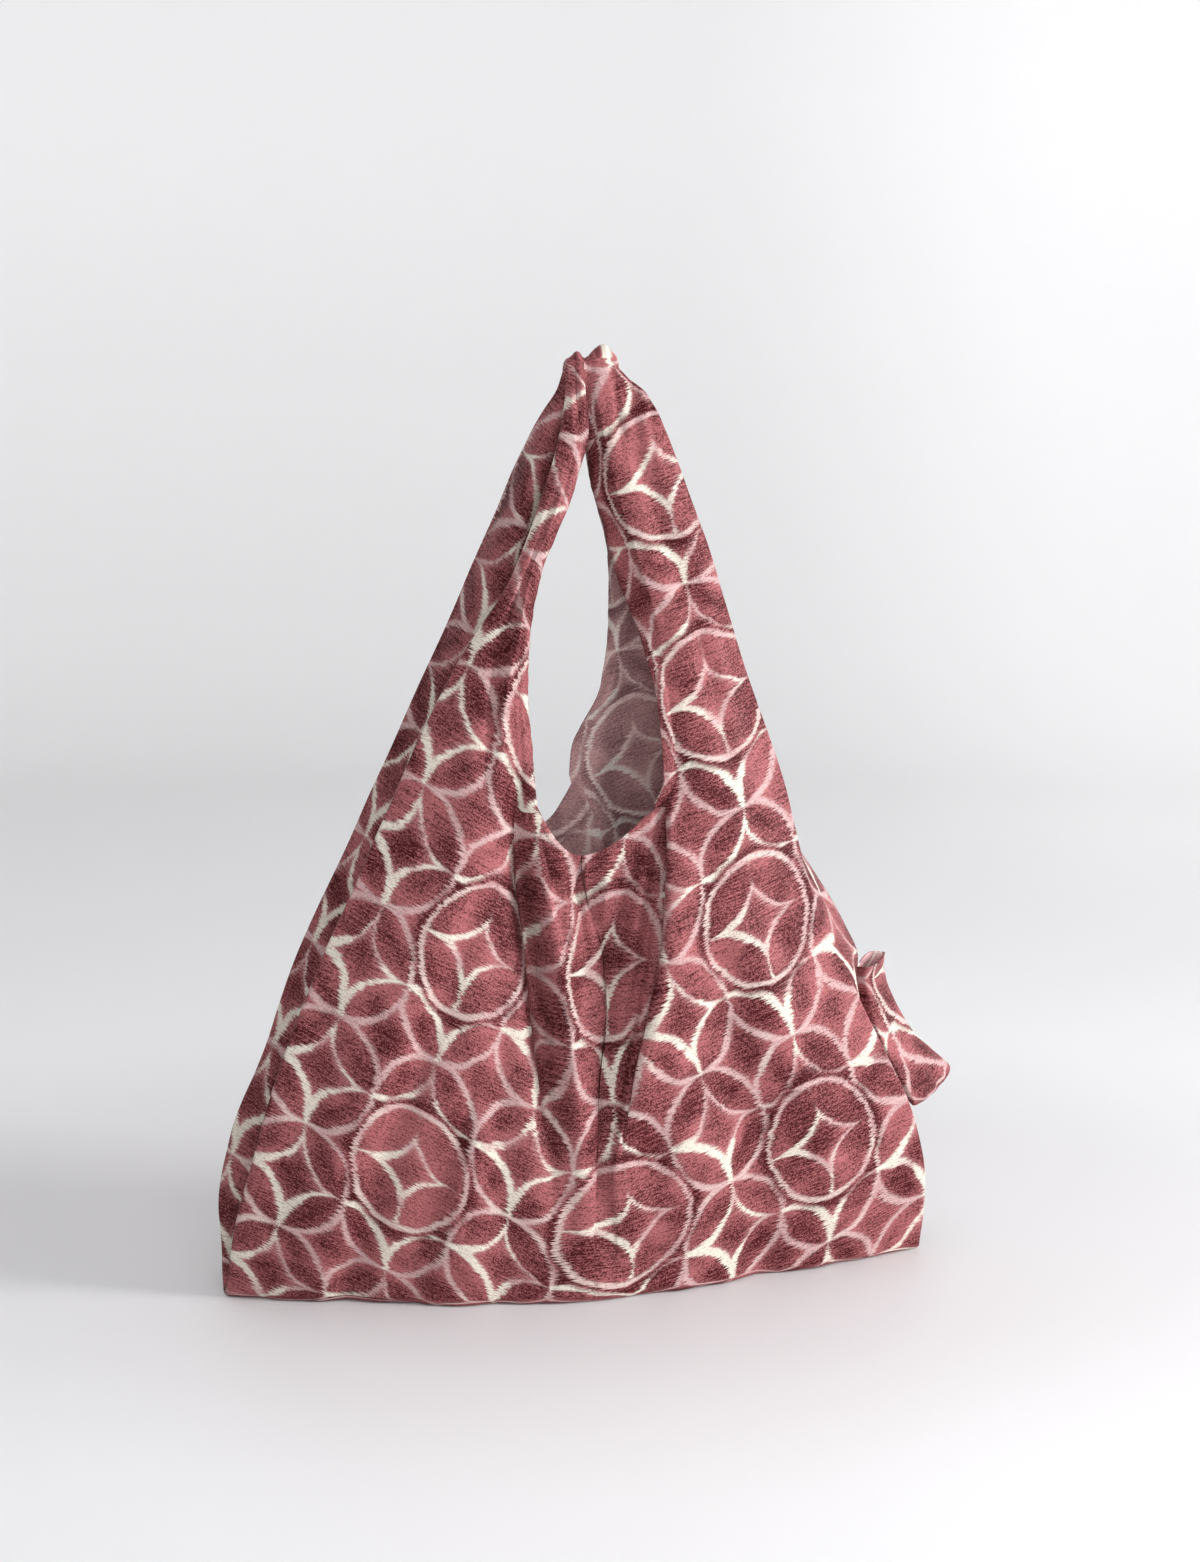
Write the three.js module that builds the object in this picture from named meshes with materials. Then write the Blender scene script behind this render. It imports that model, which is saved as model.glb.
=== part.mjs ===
// A foldable shopping bag of thin woven cloth, hanging open with its base on the ground.
// The front faces -Y, X runs across the bag, Z is up, and the origin is the middle of the base.
// Sizes are millimetres.
// Every piece is a net of points on the middle of its cloth, which is then given its thickness.
import * as THREE from 'three';

// Driving sizes
const CLOTH_THICKNESS = 1.5;
const SEAM_GAP = 0.3;
const SEAM_OFFSET = SEAM_GAP / 2 + CLOTH_THICKNESS / 2;
const BASE_HALF_LENGTH = 250;
const BASE_SEAM_SHIFT = 8;
const BASE_FOLD_RADIUS = 4;
const BASE_FOLD_SHARE = 0.55;
const SIDE_FOLD_RADIUS = 2.5;
const SIDE_FOLD_CLEAR = 12;
const FOLD_FADE = 40;
const NECK_HEIGHT = 340;
const NECK_DIP = 31;
const NECK_DIP_FROM = 170;
const NECK_FLAT_SHARE = 0.2;
const HANDLE_SPRING = 637;
const HANDLE_TILT_FROM = 600;

// One section a row: the height, then from left to right where the side folds, the panel's two long
// creases and its middle lie, and how far they stand out. The creases run up into the handles, where the
// hems fold back beside them. Next, how full each half is, and the angle and length of each hem.
const SECTION_COLUMNS = [
  'height', 'leftFold', 'leftCrease', 'middle', 'rightCrease', 'rightFold',
  'foldDepth', 'creaseDepth', 'middleDepth', 'leftFull', 'rightFull',
  'leftTurn', 'rightTurn', 'leftHem', 'rightHem',
];
const FRONT_SECTIONS = [
  [0, -250, -36, -3, 18, 250, 5, 73, 76, 10, 3, 0, 0, 14, 9],
  [50, -244, -36, -7, 14, 249, 19, 74, 76, 10, 5, 0, 0, 14, 9],
  [100, -234, -37, -3, 14, 238, 31, 74, 75, 11, 6, 0, 0, 14, 9],
  [150, -221, -41, 1, 20, 214, 38, 71, 68, 11, 8, 0, 0, 14, 9],
  [200, -203, -46, 8, 32, 192, 42, 68, 62, 11, 9, 0, 0, 14, 9],
  [250, -181, -52, 6, 41, 169, 43, 66, 58, 11, 9, 0, 0, 14, 9],
  [300, -158, -60, -6, 45, 150, 43, 64, 58, 10, 8, 0, 0, 14, 9],
  [340, -140, -61, -11, 47, 137, 43, 63, 60, 9, 8, 0, 0, 15, 9],
  [360, -131, -58, -11, 54, 132, 42, 62, 60, 8, 8, 5, 5, 13, 9],
  [410, -106, -57, -11, 51, 115, 40, 59, 60, 6, 8, 30, 10, 10, 9],
  [450, -84, -53, -11, 46, 102, 38, 56, 60, 4, 7, 35, 40, 9, 14],
  [500, -51, -41, -11, 34, 87, 33, 50, 60, 2, 6, 35, 60, 9, 26],
  [550, -31, -19, -11, 20, 70, 26, 40, 60, 2, 5, 30, 65, 9, 26],
  [590, -17, -7, -11, 13, 54, 18, 27, 60, 1, 3, 20, 65, 9, 18],
  [620, -10, -4, -11, 9, 38, 9, 14, 60, 1, 1, 10, 40, 5, 7],
  [637, -9, -3, -11, 8, 27, 5, 7.5, 60, 0, 0, 0, 0, 3, 4],
];
const BACK_SECTIONS = [
  [0, -250, -40, 0, 40, 250, 5, 72, 76, 6, 6, 0, 0, 14, 12],
  [50, -251, -40, 2, 42, 248, 20, 73, 77, 8, 8, 0, 0, 14, 12],
  [100, -241, -38, 4, 44, 240, 32, 74, 78, 10, 10, 0, 0, 14, 12],
  [150, -220, -38, 3, 44, 216, 39, 72, 75, 11, 11, 0, 0, 14, 12],
  [200, -201, -40, 0, 41, 197, 43, 70, 71, 11, 11, 0, 0, 14, 12],
  [250, -180, -46, -5, 36, 176, 45, 68, 68, 11, 11, 0, 0, 14, 12],
  [300, -155, -56, -11, 30, 156, 45, 67, 67, 10, 10, 0, 0, 12, 10],
  [340, -137, -64, -13, 17, 139, 45, 66, 66, 9, 9, 0, 0, 10, 9],
  [360, -128, -65, -13, 18, 131, 44, 64, 66, 8, 9, 8, 0, 9, 9],
  [410, -105, -60, -13, 39, 114, 42, 60, 66, 6, 8, 20, 0, 9, 9],
  [450, -86, -54, -13, 43, 100, 40, 57, 66, 5, 7, 20, 10, 9, 9],
  [500, -65, -42, -13, 41, 83, 36, 51, 66, 4, 6, 20, 20, 9, 9],
  [550, -44, -25, -13, 27, 65, 30, 41, 66, 3, 4, 20, 20, 9, 9],
  [590, -27, -10, -13, 17, 49, 20, 28, 66, 2, 3, 15, 20, 9, 9],
  [620, -13, -4, -13, 9, 35, 9, 14, 66, 1, 1, 10, 10, 5, 7],
  [637, -9, -3, -13, 8, 27, 5, 7.5, 66, 0, 0, 0, 0, 3, 4],
];

// The seams down the two sides, where the gussets' folded cloth lies, and how far each panel's cloth keeps
// off the middle beside them. On the right the pouch draws its seam outwards.
const SEAM_COLUMNS = ['height', 'left', 'right', 'apart'];
const SIDE_SEAMS = [
  [0, -190, 190, 0],
  [50, -187, 187, 0],
  [100, -184, 182, 0],
  [150, -175, 185, 0],
  [190, -163, 200, 0],
  [215, -156, 205, 0],
  [240, -147, 196, 0],
  [285, -132, 169, 0],
  [320, -115, 140, 0],
  [360, -90, 112, 0],
  [420, -62, 80, 0],
  [480, -42, 56, 0],
  [540, -24, 38, 0],
  [590, -12, 26, 0],
  [620, -5, 18, 1.2],
  [637, -4, 13, 1.2],
];

// The handles' tops: how far each place across them lies above or below the line of their fold.
const TOP_COLUMNS = ['x', 'rise'];
const HANDLE_TOPS = [
  [-9, -6],
  [1, -2],
  [5, -6],
  [9, -3],
  [18, 3],
  [27, -5],
];

// The long folds: the panel's half, how far the fold lies beside that half's crease, its rise out of the
// panel at three heights, and how far it spreads to its left and right.
const FOLD_COLUMNS = [
  'half', 'beside', 'topHeight', 'topRise', 'midHeight', 'midRise', 'lowHeight', 'lowRise',
  'spreadLeft', 'spreadRight',
];
const FRONT_FOLDS = [
  [-1, 0, 420, -3, 270, -15, 90, 0, 11, 10],
  [-1, 22, 330, 6, 250, 8, 60, 2, 10, 16],
  [1, 2, 400, 3, 250, 11, 100, 3, 5, 42],
  [-1, -62, 160, -3, 80, -6, 0, -3, 55, 9],
];
const BACK_FOLDS = [
  [-1, 0, 400, -3, 250, -10, 80, 0, 14, 12],
  [1, 0, 400, -3, 220, -9, 70, 0, 12, 14],
];

// The pouch, from its open mouth down to its closed end: the middle of each section, and half its width
// and depth.
const POUCH_COLUMNS = ['x', 'y', 'z', 'halfWidth', 'halfDepth'];
const POUCH_SECTIONS = [
  [217.2, 3.6, 212, 18, 8],
  [217, 4.2, 204, 18, 6.5],
  [218.2, 5, 194, 21, 6],
  [226, 6, 172, 29, 5.5],
  [240, 8, 151, 32, 5.5],
  [254, 9, 134, 33, 5.5],
  [262, 8, 118, 33, 5],
  [264, 8, 113, 31, 3],
];
const POUCH_WIDTH_ALONG = new THREE.Vector3(0.6, 0.79, 0.11).normalize();
const POUCH_DEPTH_ALONG = new THREE.Vector3(0.797, -0.604, 0).normalize();
const POUCH_END_STEPS = 4;
const POUCH_SIDE_STEPS = 3;

// The nets' rows and columns
const WALL_HEIGHTS = [
  4.75, 20, 42, 66, 92, 118, 144, 170, 196, 222, 248, 272, 294, 316, 340,
  360, 382, 406, 432, 458, 484, 508, 532, 556, 580, 600, 618, 637,
];
const FACE_SHARES = [0, 0.15, 0.31, 0.47, 0.62, 0.75, 0.85, 0.93, 1];
const MIDDLE_SHARES = [0.33, 0.66, 1];
const GUSSET_SHARES = [0, 0.5, 1];
const SIDE_FOLD_STEPS = 3;
const BASE_SHARES = [0, 0.34, 0.67, 1];
const BASE_FOLD_STEPS = 3;
const TOP_STEPS = 4;

// Turns a table's rows into objects with named columns.
function named(columns, rows) {
  return rows.map((row) => Object.fromEntries(columns.map((name, i) => [name, row[i]])));
}

// The value of a column at any place along a table, on a smooth curve through its rows.
function columnAt(rows, column, at, along = 'height') {
  const last = rows.length - 1;
  const place = THREE.MathUtils.clamp(at, rows[0][along], rows[last][along]);
  let i = 0;
  while (i < last - 1 && rows[i + 1][along] < place) i += 1;
  const slope = (a, b) => (rows[b][column] - rows[a][column]) / (rows[b][along] - rows[a][along]);
  const span = rows[i + 1][along] - rows[i][along];
  const chord = slope(i, i + 1);
  const before = i > 0 ? slope(i - 1, i) : chord;
  const after = i < last - 1 ? slope(i + 1, i + 2) : chord;
  const start = before * chord > 0 ? (2 * before * chord) / (before + chord) : 0;
  const end = chord * after > 0 ? (2 * chord * after) / (chord + after) : 0;
  const t = (place - rows[i][along]) / span;
  const a = rows[i][column];
  const b = rows[i + 1][column];
  return a + (b - a) * t * t * (3 - 2 * t) + span * t * (1 - t) * (start * (1 - t) - end * t);
}

// The section at a height, with every column read from the table.
function sectionAt(rows, columns, height) {
  return Object.fromEntries(columns.map((name) => [name, columnAt(rows, name, height)]));
}

// How far the folds lift the cloth at a place on one half of a panel.
function foldRise(folds, half, away, height) {
  let rise = 0;
  for (const fold of folds) {
    if (fold.half !== half) continue;
    const rises = [
      { height: fold.lowHeight, rise: fold.lowRise },
      { height: fold.midHeight, rise: fold.midRise },
      { height: fold.topHeight, rise: fold.topRise },
    ];
    const offset = away - fold.beside;
    const spread = offset < 0 ? fold.spreadLeft : fold.spreadRight;
    const beyond = Math.max(fold.lowHeight - height, height - fold.topHeight, 0) / FOLD_FADE;
    rise += columnAt(rises, 'rise', height) * Math.exp(-((offset / spread) ** 2) - beyond * beyond);
  }
  return rise;
}

// A point part of the way from one to another.
function between(from, to, share) {
  return { x: THREE.MathUtils.lerp(from.x, to.x, share), y: THREE.MathUtils.lerp(from.y, to.y, share) };
}

// A point on the round of a side fold.
function around(centre, angle) {
  return {
    x: centre.x + SIDE_FOLD_RADIUS * Math.cos(angle),
    y: centre.y + SIDE_FOLD_RADIUS * Math.sin(angle),
  };
}

// Where a line from a point touches a side fold: the angle, seen from the fold's centre, on the wanted side.
function touchAngle(centre, point, side) {
  const reach = Math.hypot(point.x - centre.x, point.y - centre.y);
  const bearing = Math.atan2(point.y - centre.y, point.x - centre.x);
  return bearing + side * Math.acos(Math.min(1, SIDE_FOLD_RADIUS / reach));
}

// The points of a gusset and the round of its side fold, from the side seam to where the face starts.
function gussetPoints(fold, seam, crease, outward) {
  const faceAngle = touchAngle(fold, crease, -outward);
  const gussetAngle = touchAngle(fold, seam, outward);
  const sweep = outward * THREE.MathUtils.euclideanModulo(outward * (faceAngle - gussetAngle), 2 * Math.PI);
  const gussetEnd = around(fold, gussetAngle);
  const points = GUSSET_SHARES.map((share) => between(seam, gussetEnd, share));
  for (let i = 1; i < SIDE_FOLD_STEPS; i += 1) {
    points.push(around(fold, gussetAngle + sweep * (i / SIDE_FOLD_STEPS)));
  }
  return { points, faceStart: around(fold, faceAngle) };
}

// One half of a panel at a height: the points from the side seam, round the side fold, across to the
// crease, along the hem and, up to the neck, on to the panel's middle, where the rows dip. Depths are
// measured out of the bag.
function halfSection(panel, half, height) {
  const s = sectionAt(panel.sections, SECTION_COLUMNS, height);
  const seams = sectionAt(SEAM_ROWS, SEAM_COLUMNS, height);
  const left = half < 0;
  const outward = left ? -1 : 1;
  const crease = { x: left ? s.leftCrease : s.rightCrease, y: s.creaseDepth };
  const middle = { x: s.middle, y: s.middleDepth };
  const fold = { x: (left ? s.leftFold : s.rightFold) - outward * SIDE_FOLD_RADIUS, y: s.foldDepth };
  const seam = { x: left ? seams.left : seams.right, y: Math.min(SEAM_OFFSET + seams.apart, fold.y / 2) };
  const full = left ? s.leftFull : s.rightFull;
  const hem = left ? s.leftHem : s.rightHem;
  const turn = THREE.MathUtils.degToRad(left ? s.leftTurn : s.rightTurn);
  const { points, faceStart } = gussetPoints(fold, seam, crease, outward);
  const lifted = (point) => {
    const rise = foldRise(panel.folds, half, point.x - crease.x, height);
    const fade = THREE.MathUtils.smoothstep(Math.abs(point.x - faceStart.x), 0, SIDE_FOLD_CLEAR);
    return { x: point.x, y: point.y + rise * fade };
  };
  for (const share of FACE_SHARES) {
    const point = between(faceStart, crease, share);
    point.y += full * 4 * share * (1 - share);
    points.push(lifted(point));
  }
  if (height > NECK_HEIGHT) {
    const edge = points[points.length - 1];
    points.push({ x: edge.x - outward * hem * Math.cos(turn), y: edge.y - hem * Math.sin(turn) });
    return points.map((point) => ({ ...point, z: height + topRise(point.x, height) }));
  }
  const span = Math.abs(middle.x - crease.x);
  const hemShare = hem / span;
  for (const share of [0, ...MIDDLE_SHARES]) {
    points.push(lifted(between(crease, middle, THREE.MathUtils.lerp(hemShare, 1, share))));
  }
  const dipShare = THREE.MathUtils.clamp((height - NECK_DIP_FROM) / (NECK_HEIGHT - NECK_DIP_FROM), 0, 1);
  return points.map((point) => {
    const across = (-outward * (point.x - crease.x)) / span;
    const share = THREE.MathUtils.clamp((across - NECK_FLAT_SHARE) / (1 - NECK_FLAT_SHARE), 0, 1);
    return { ...point, z: height - NECK_DIP * dipShare * Math.sin((share * Math.PI) / 2) };
  });
}

// How far a place near the handles' tops is raised, which gives each handle its peak.
function topRise(x, height) {
  const share = THREE.MathUtils.smoothstep(height, HANDLE_TILT_FROM, HANDLE_SPRING);
  return share * columnAt(TOP_ROWS, 'rise', x, 'x');
}

// Where the seam along the base lies, measured towards the back. It runs behind the middle between the
// two corners.
function baseSeam(x) {
  return BASE_SEAM_SHIFT * Math.max(0, 1 - (x / BASE_HALF_LENGTH) ** 2);
}

const SEAM_ROWS = named(SEAM_COLUMNS, SIDE_SEAMS);
const TOP_ROWS = named(TOP_COLUMNS, HANDLE_TOPS);
const SIDE_FOLD_APEX = GUSSET_SHARES.length + 1;
const FACE_COLUMN = GUSSET_SHARES.length + SIDE_FOLD_STEPS - 1;
const MIDDLE_COLUMN = FACE_COLUMN + FACE_SHARES.length + MIDDLE_SHARES.length;
const BASE_ROWS = BASE_SHARES.length + BASE_FOLD_STEPS - 1;
const TOP_ROW = BASE_ROWS + WALL_HEIGHTS.length - 1;

// A net of cloth: its points, each found by its own key, and its four-sided faces.
class ClothNet {
  constructor() {
    this.points = [];
    this.faces = [];
    this.found = new Map();
  }

  point(key, place) {
    if (this.found.has(key)) return;
    this.found.set(key, this.points.length);
    this.points.push(place);
  }

  face(keys, reversed = false) {
    const corners = keys.map((key) => this.found.get(key));
    if (corners.includes(undefined)) return;
    this.faces.push(reversed ? corners.reverse() : corners);
  }

  // The closed solid of the net: its two sides, and a wall along every open edge.
  solid(thickness) {
    const normals = this.points.map(() => new THREE.Vector3());
    const edges = new Map();
    for (const face of this.faces) {
      const [a, b, c, d] = face.map((i) => this.points[i]);
      const normal = c.clone().sub(a).cross(d.clone().sub(b)).normalize();
      face.forEach((i, k) => {
        normals[i].add(normal);
        const next = face[(k + 1) % face.length];
        if (edges.has(`${next}:${i}`)) edges.delete(`${next}:${i}`);
        else edges.set(`${i}:${next}`, [i, next]);
      });
    }
    const count = this.points.length;
    const positions = [];
    for (const side of [0.5, -0.5]) {
      this.points.forEach((point, i) => {
        const moved = normals[i].clone().normalize().multiplyScalar(side * thickness).add(point);
        positions.push(moved.x, moved.y, moved.z);
      });
    }
    const index = [];
    for (const [a, b, c, d] of this.faces) {
      index.push(a, b, c, a, c, d);
      index.push(count + a, count + c, count + b, count + a, count + d, count + c);
    }
    for (const [a, b] of edges.values()) index.push(b, a, count + a, b, count + a, count + b);
    const geometry = new THREE.BufferGeometry();
    geometry.setAttribute('position', new THREE.Float32BufferAttribute(positions, 3));
    geometry.setIndex(index);
    geometry.computeVertexNormals();
    return geometry;
  }
}

// The net of a whole panel, from the seam along the base up to the seam across the handles' tops. Up to
// the neck its two halves end in the same points.
function panelNet(panel) {
  const net = new ClothNet();
  const key = (half, row, column) => `${column === MIDDLE_COLUMN ? 'middle' : half}:${row}:${column}`;
  const place = (x, depth, z) => new THREE.Vector3(x, -panel.side * depth, z);
  for (const half of [-1, 1]) {
    halfSection(panel, half, 0).forEach((p, column) => {
      if (column < SIDE_FOLD_APEX) return;
      const radius = Math.min(BASE_FOLD_RADIUS, p.y * BASE_FOLD_SHARE);
      BASE_SHARES.forEach((share, row) => {
        const depth = THREE.MathUtils.lerp(SEAM_GAP / 2 - panel.side * baseSeam(p.x), p.y - radius, share);
        net.point(key(half, row, column), place(p.x, depth, CLOTH_THICKNESS / 2));
      });
      for (let i = 1; i < BASE_FOLD_STEPS; i += 1) {
        const angle = (i / BASE_FOLD_STEPS) * (Math.PI / 2);
        const z = CLOTH_THICKNESS / 2 + BASE_FOLD_RADIUS * (1 - Math.cos(angle));
        const row = BASE_SHARES.length - 1 + i;
        net.point(key(half, row, column), place(p.x, p.y - radius * (1 - Math.sin(angle)), z));
      }
    });
    WALL_HEIGHTS.forEach((height, i) => {
      halfSection(panel, half, height).forEach((p, column) => {
        net.point(key(half, BASE_ROWS + i, column), place(p.x, p.y, p.z));
      });
    });
    halfSection(panel, half, HANDLE_SPRING).forEach((p, column) => {
      for (let i = 1; i <= TOP_STEPS; i += 1) {
        const angle = (i / TOP_STEPS) * (Math.PI / 2);
        const depth = Math.max(p.y * Math.cos(angle), SEAM_GAP);
        net.point(key(half, TOP_ROW + i, column), place(p.x, depth, p.z + p.y * Math.sin(angle)));
      }
    });
  }
  for (const half of [-1, 1]) {
    for (let row = 0; row < TOP_ROW + TOP_STEPS; row += 1) {
      for (let column = 0; column < MIDDLE_COLUMN; column += 1) {
        const corners = [[row, column], [row, column + 1], [row + 1, column + 1], [row + 1, column]];
        net.face(corners.map(([r, c]) => key(half, r, c)), panel.side * half < 0);
      }
    }
  }
  return net;
}

// The flattened round of one section of the pouch, as places across its width and depth.
function pouchRing(section) {
  const straight = section.halfWidth - section.halfDepth;
  const ring = [];
  for (const side of [1, -1]) {
    for (let i = 0; i <= POUCH_END_STEPS; i += 1) {
      const angle = (i / POUCH_END_STEPS - 0.5) * Math.PI;
      const across = side * (straight + section.halfDepth * Math.cos(angle));
      ring.push({ across, deep: side * section.halfDepth * Math.sin(angle) });
    }
    for (let i = 1; i < POUCH_SIDE_STEPS; i += 1) {
      const across = side * straight * (1 - (2 * i) / POUCH_SIDE_STEPS);
      ring.push({ across, deep: side * section.halfDepth });
    }
  }
  return ring;
}

// The net of the pouch: an open sleeve that is closed across its lower end.
function pouchNet(sections) {
  const net = new ClothNet();
  const rings = sections.map(pouchRing);
  const count = rings[0].length;
  rings.forEach((ring, row) => {
    const { x, y, z } = sections[row];
    ring.forEach(({ across, deep }, i) => {
      const place = new THREE.Vector3(x, y, z);
      place.addScaledVector(POUCH_WIDTH_ALONG, across).addScaledVector(POUCH_DEPTH_ALONG, deep);
      net.point(`${row}:${i}`, place);
    });
    if (row === 0) return;
    for (let i = 0; i < count; i += 1) {
      const next = (i + 1) % count;
      net.face([`${row - 1}:${i}`, `${row - 1}:${next}`, `${row}:${next}`, `${row}:${i}`]);
    }
  });
  const last = sections.length - 1;
  const half = count / 2;
  const opposite = (i) => (POUCH_END_STEPS + count - i) % count;
  for (let i = POUCH_END_STEPS / 2; i < POUCH_END_STEPS / 2 + half; i += 1) {
    const corners = [i, i + 1, opposite(i + 1), opposite(i)];
    if (new Set(corners).size < corners.length) continue;
    net.face(corners.map((corner) => `${last}:${corner}`));
  }
  return net;
}

// A woven cloth of one colour, seen from both sides.
function cloth(color) {
  return new THREE.MeshStandardMaterial({ color, roughness: 0.55, metalness: 0, side: THREE.DoubleSide });
}

// A named piece of the bag, made from its net.
function piece(name, net, color) {
  const mesh = new THREE.Mesh(net.solid(CLOTH_THICKNESS), cloth(color));
  mesh.name = name;
  return mesh;
}

const front = {
  side: 1,
  sections: named(SECTION_COLUMNS, FRONT_SECTIONS),
  folds: named(FOLD_COLUMNS, FRONT_FOLDS),
};
const back = {
  side: -1,
  sections: named(SECTION_COLUMNS, BACK_SECTIONS),
  folds: named(FOLD_COLUMNS, BACK_FOLDS),
};

const bag = new THREE.Group();
bag.add(piece('front_panel', panelNet(front), 0x96505c));
bag.add(piece('back_panel', panelNet(back), 0x86444f));
bag.add(piece('pouch', pouchNet(named(POUCH_COLUMNS, POUCH_SECTIONS)), 0x9c5562));

export default bag;
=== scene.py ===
"""A foldable shopping bag of thin woven cloth, hanging open by both handles with its base on the ground."""
import logging
import math
from collections.abc import Callable
from dataclasses import dataclass
from enum import Enum
from functools import lru_cache

import bmesh
import bpy
from mathutils import Matrix, Vector, noise


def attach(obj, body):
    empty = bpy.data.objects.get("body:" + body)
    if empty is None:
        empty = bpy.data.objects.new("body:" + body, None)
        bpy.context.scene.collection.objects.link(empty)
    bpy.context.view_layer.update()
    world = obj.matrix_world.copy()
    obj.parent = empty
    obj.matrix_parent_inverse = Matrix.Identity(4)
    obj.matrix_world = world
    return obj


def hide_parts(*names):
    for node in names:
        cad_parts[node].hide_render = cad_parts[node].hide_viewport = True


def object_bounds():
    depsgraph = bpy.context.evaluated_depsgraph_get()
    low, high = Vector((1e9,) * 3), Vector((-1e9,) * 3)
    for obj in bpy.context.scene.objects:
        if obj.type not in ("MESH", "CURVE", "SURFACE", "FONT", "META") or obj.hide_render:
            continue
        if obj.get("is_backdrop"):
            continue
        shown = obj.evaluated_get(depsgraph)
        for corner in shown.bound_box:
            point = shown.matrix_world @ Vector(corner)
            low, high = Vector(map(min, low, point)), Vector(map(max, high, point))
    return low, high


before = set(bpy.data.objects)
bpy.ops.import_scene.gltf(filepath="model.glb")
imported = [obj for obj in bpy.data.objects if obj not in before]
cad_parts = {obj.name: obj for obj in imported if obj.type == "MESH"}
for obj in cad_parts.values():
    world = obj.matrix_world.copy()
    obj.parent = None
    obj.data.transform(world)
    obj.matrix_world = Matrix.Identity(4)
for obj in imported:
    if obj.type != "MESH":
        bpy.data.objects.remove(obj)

log = logging.getLogger("bag")

MM = 0.001
UV_MAP = "print"

# The cloth's driving sizes, in millimetres
CLOTH_THICKNESS = 0.7
SEAM_GAP = 0.9
SEAM_OFFSET = 0.36
BASE_HALF_LENGTH = 250
BASE_SEAM_SHIFT = 8
BASE_FOLD_RADIUS = 4
BASE_FOLD_SHARE = 0.55
BASE_HEIGHT = 0.75
WALL_FOOT = 4.75
SIDE_FOLD_RADIUS = 2.5
SIDE_FOLD_CLEAR = 12
NECK_HEIGHT = 340
NECK_DIP = 31
NECK_DIP_FROM = 170
HANDLE_SPRING = 637
HANDLE_TILT_FROM = 600
HANDLE_CALM_FROM = 560
HANDLE_CALM_TO = 630
HEM_WIDTH = 10
HEM_BAND = 1.4 * HEM_WIDTH
HEM_SETTLE = 34
HEM_BEND = 0.9
HEM_DROP = 4.0
HEM_RELIEF = 1.0
STITCH_RELIEF = -1.1
PUCKER_RELIEF = 1.1
GUSSET_SLACK = 5.5
GUSSET_SLACK_SHARE = 0.16
GATHER_FROM = 530
GATHER_RELIEF = 4.2
TOP_SEAM = 0.45
FOLD_FADE = 30

# How strongly the net's columns are drawn towards the crease
FACE_PULL = 1.25

# The print's scale along the cloth, in radii of its circles for each millimetre
PRINT_RATE = 0.0266
BASE_PRINT_STEP = 0.18

SECTION_COLUMNS = (
    "height", "left_fold", "left_crease", "middle", "right_crease", "right_fold",
    "fold_depth", "crease_depth", "middle_depth", "left_full", "right_full",
    "left_turn", "right_turn", "left_hem", "right_hem",
)
FRONT_SECTIONS = (
    (0, -250, -36, -3, 18, 250, 5, 73, 76, 10, 3, 0, 0, 14, 9),
    (50, -244, -36, -7, 14, 249, 19, 74, 76, 10, 5, 0, 0, 14, 9),
    (100, -234, -37, -3, 14, 238, 31, 74, 75, 11, 6, 0, 0, 14, 9),
    (150, -221, -41, 1, 20, 214, 38, 71, 68, 11, 8, 0, 0, 14, 9),
    (200, -203, -46, 8, 32, 189, 42, 68, 62, 11, 9, 0, 0, 14, 9),
    (250, -181, -49, 6, 41, 164, 43, 66, 58, 11, 9, 0, 0, 14, 9),
    (300, -158, -55, -6, 45, 148, 43, 64, 58, 10, 8, 0, 0, 14, 9),
    (340, -140, -56, -11, 47, 139, 43, 63, 60, 9, 8, 0, 0, 14, 9),
    (360, -131, -54, -11, 54, 133, 42, 62, 60, 8, 8, 8, 5, 11, 9),
    (410, -106, -55, -11, 51, 115, 40, 59, 60, 6, 8, 30, 10, 10, 9),
    (450, -84, -53, -11, 46, 102, 39, 53, 60, 4, 7, 35, 40, 9, 14),
    (500, -51, -41, -11, 34, 87, 36, 45, 60, 2, 5, 35, 60, 9, 26),
    (550, -31, -19, -11, 20, 70, 29, 35, 60, 2, 4, 30, 65, 9, 26),
    (590, -17, -7, -11, 13, 57, 20, 25, 60, 1, 3, 20, 60, 10, 18),
    (620, -10, -4, -11, 9, 44, 9, 14, 60, 1, 1, 10, 40, 6.6, 8),
    (637, -9, -3, -11, 8, 27, 5, 7.5, 60, 0, 0, 0, 0, 5, 5.4),
)
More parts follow.
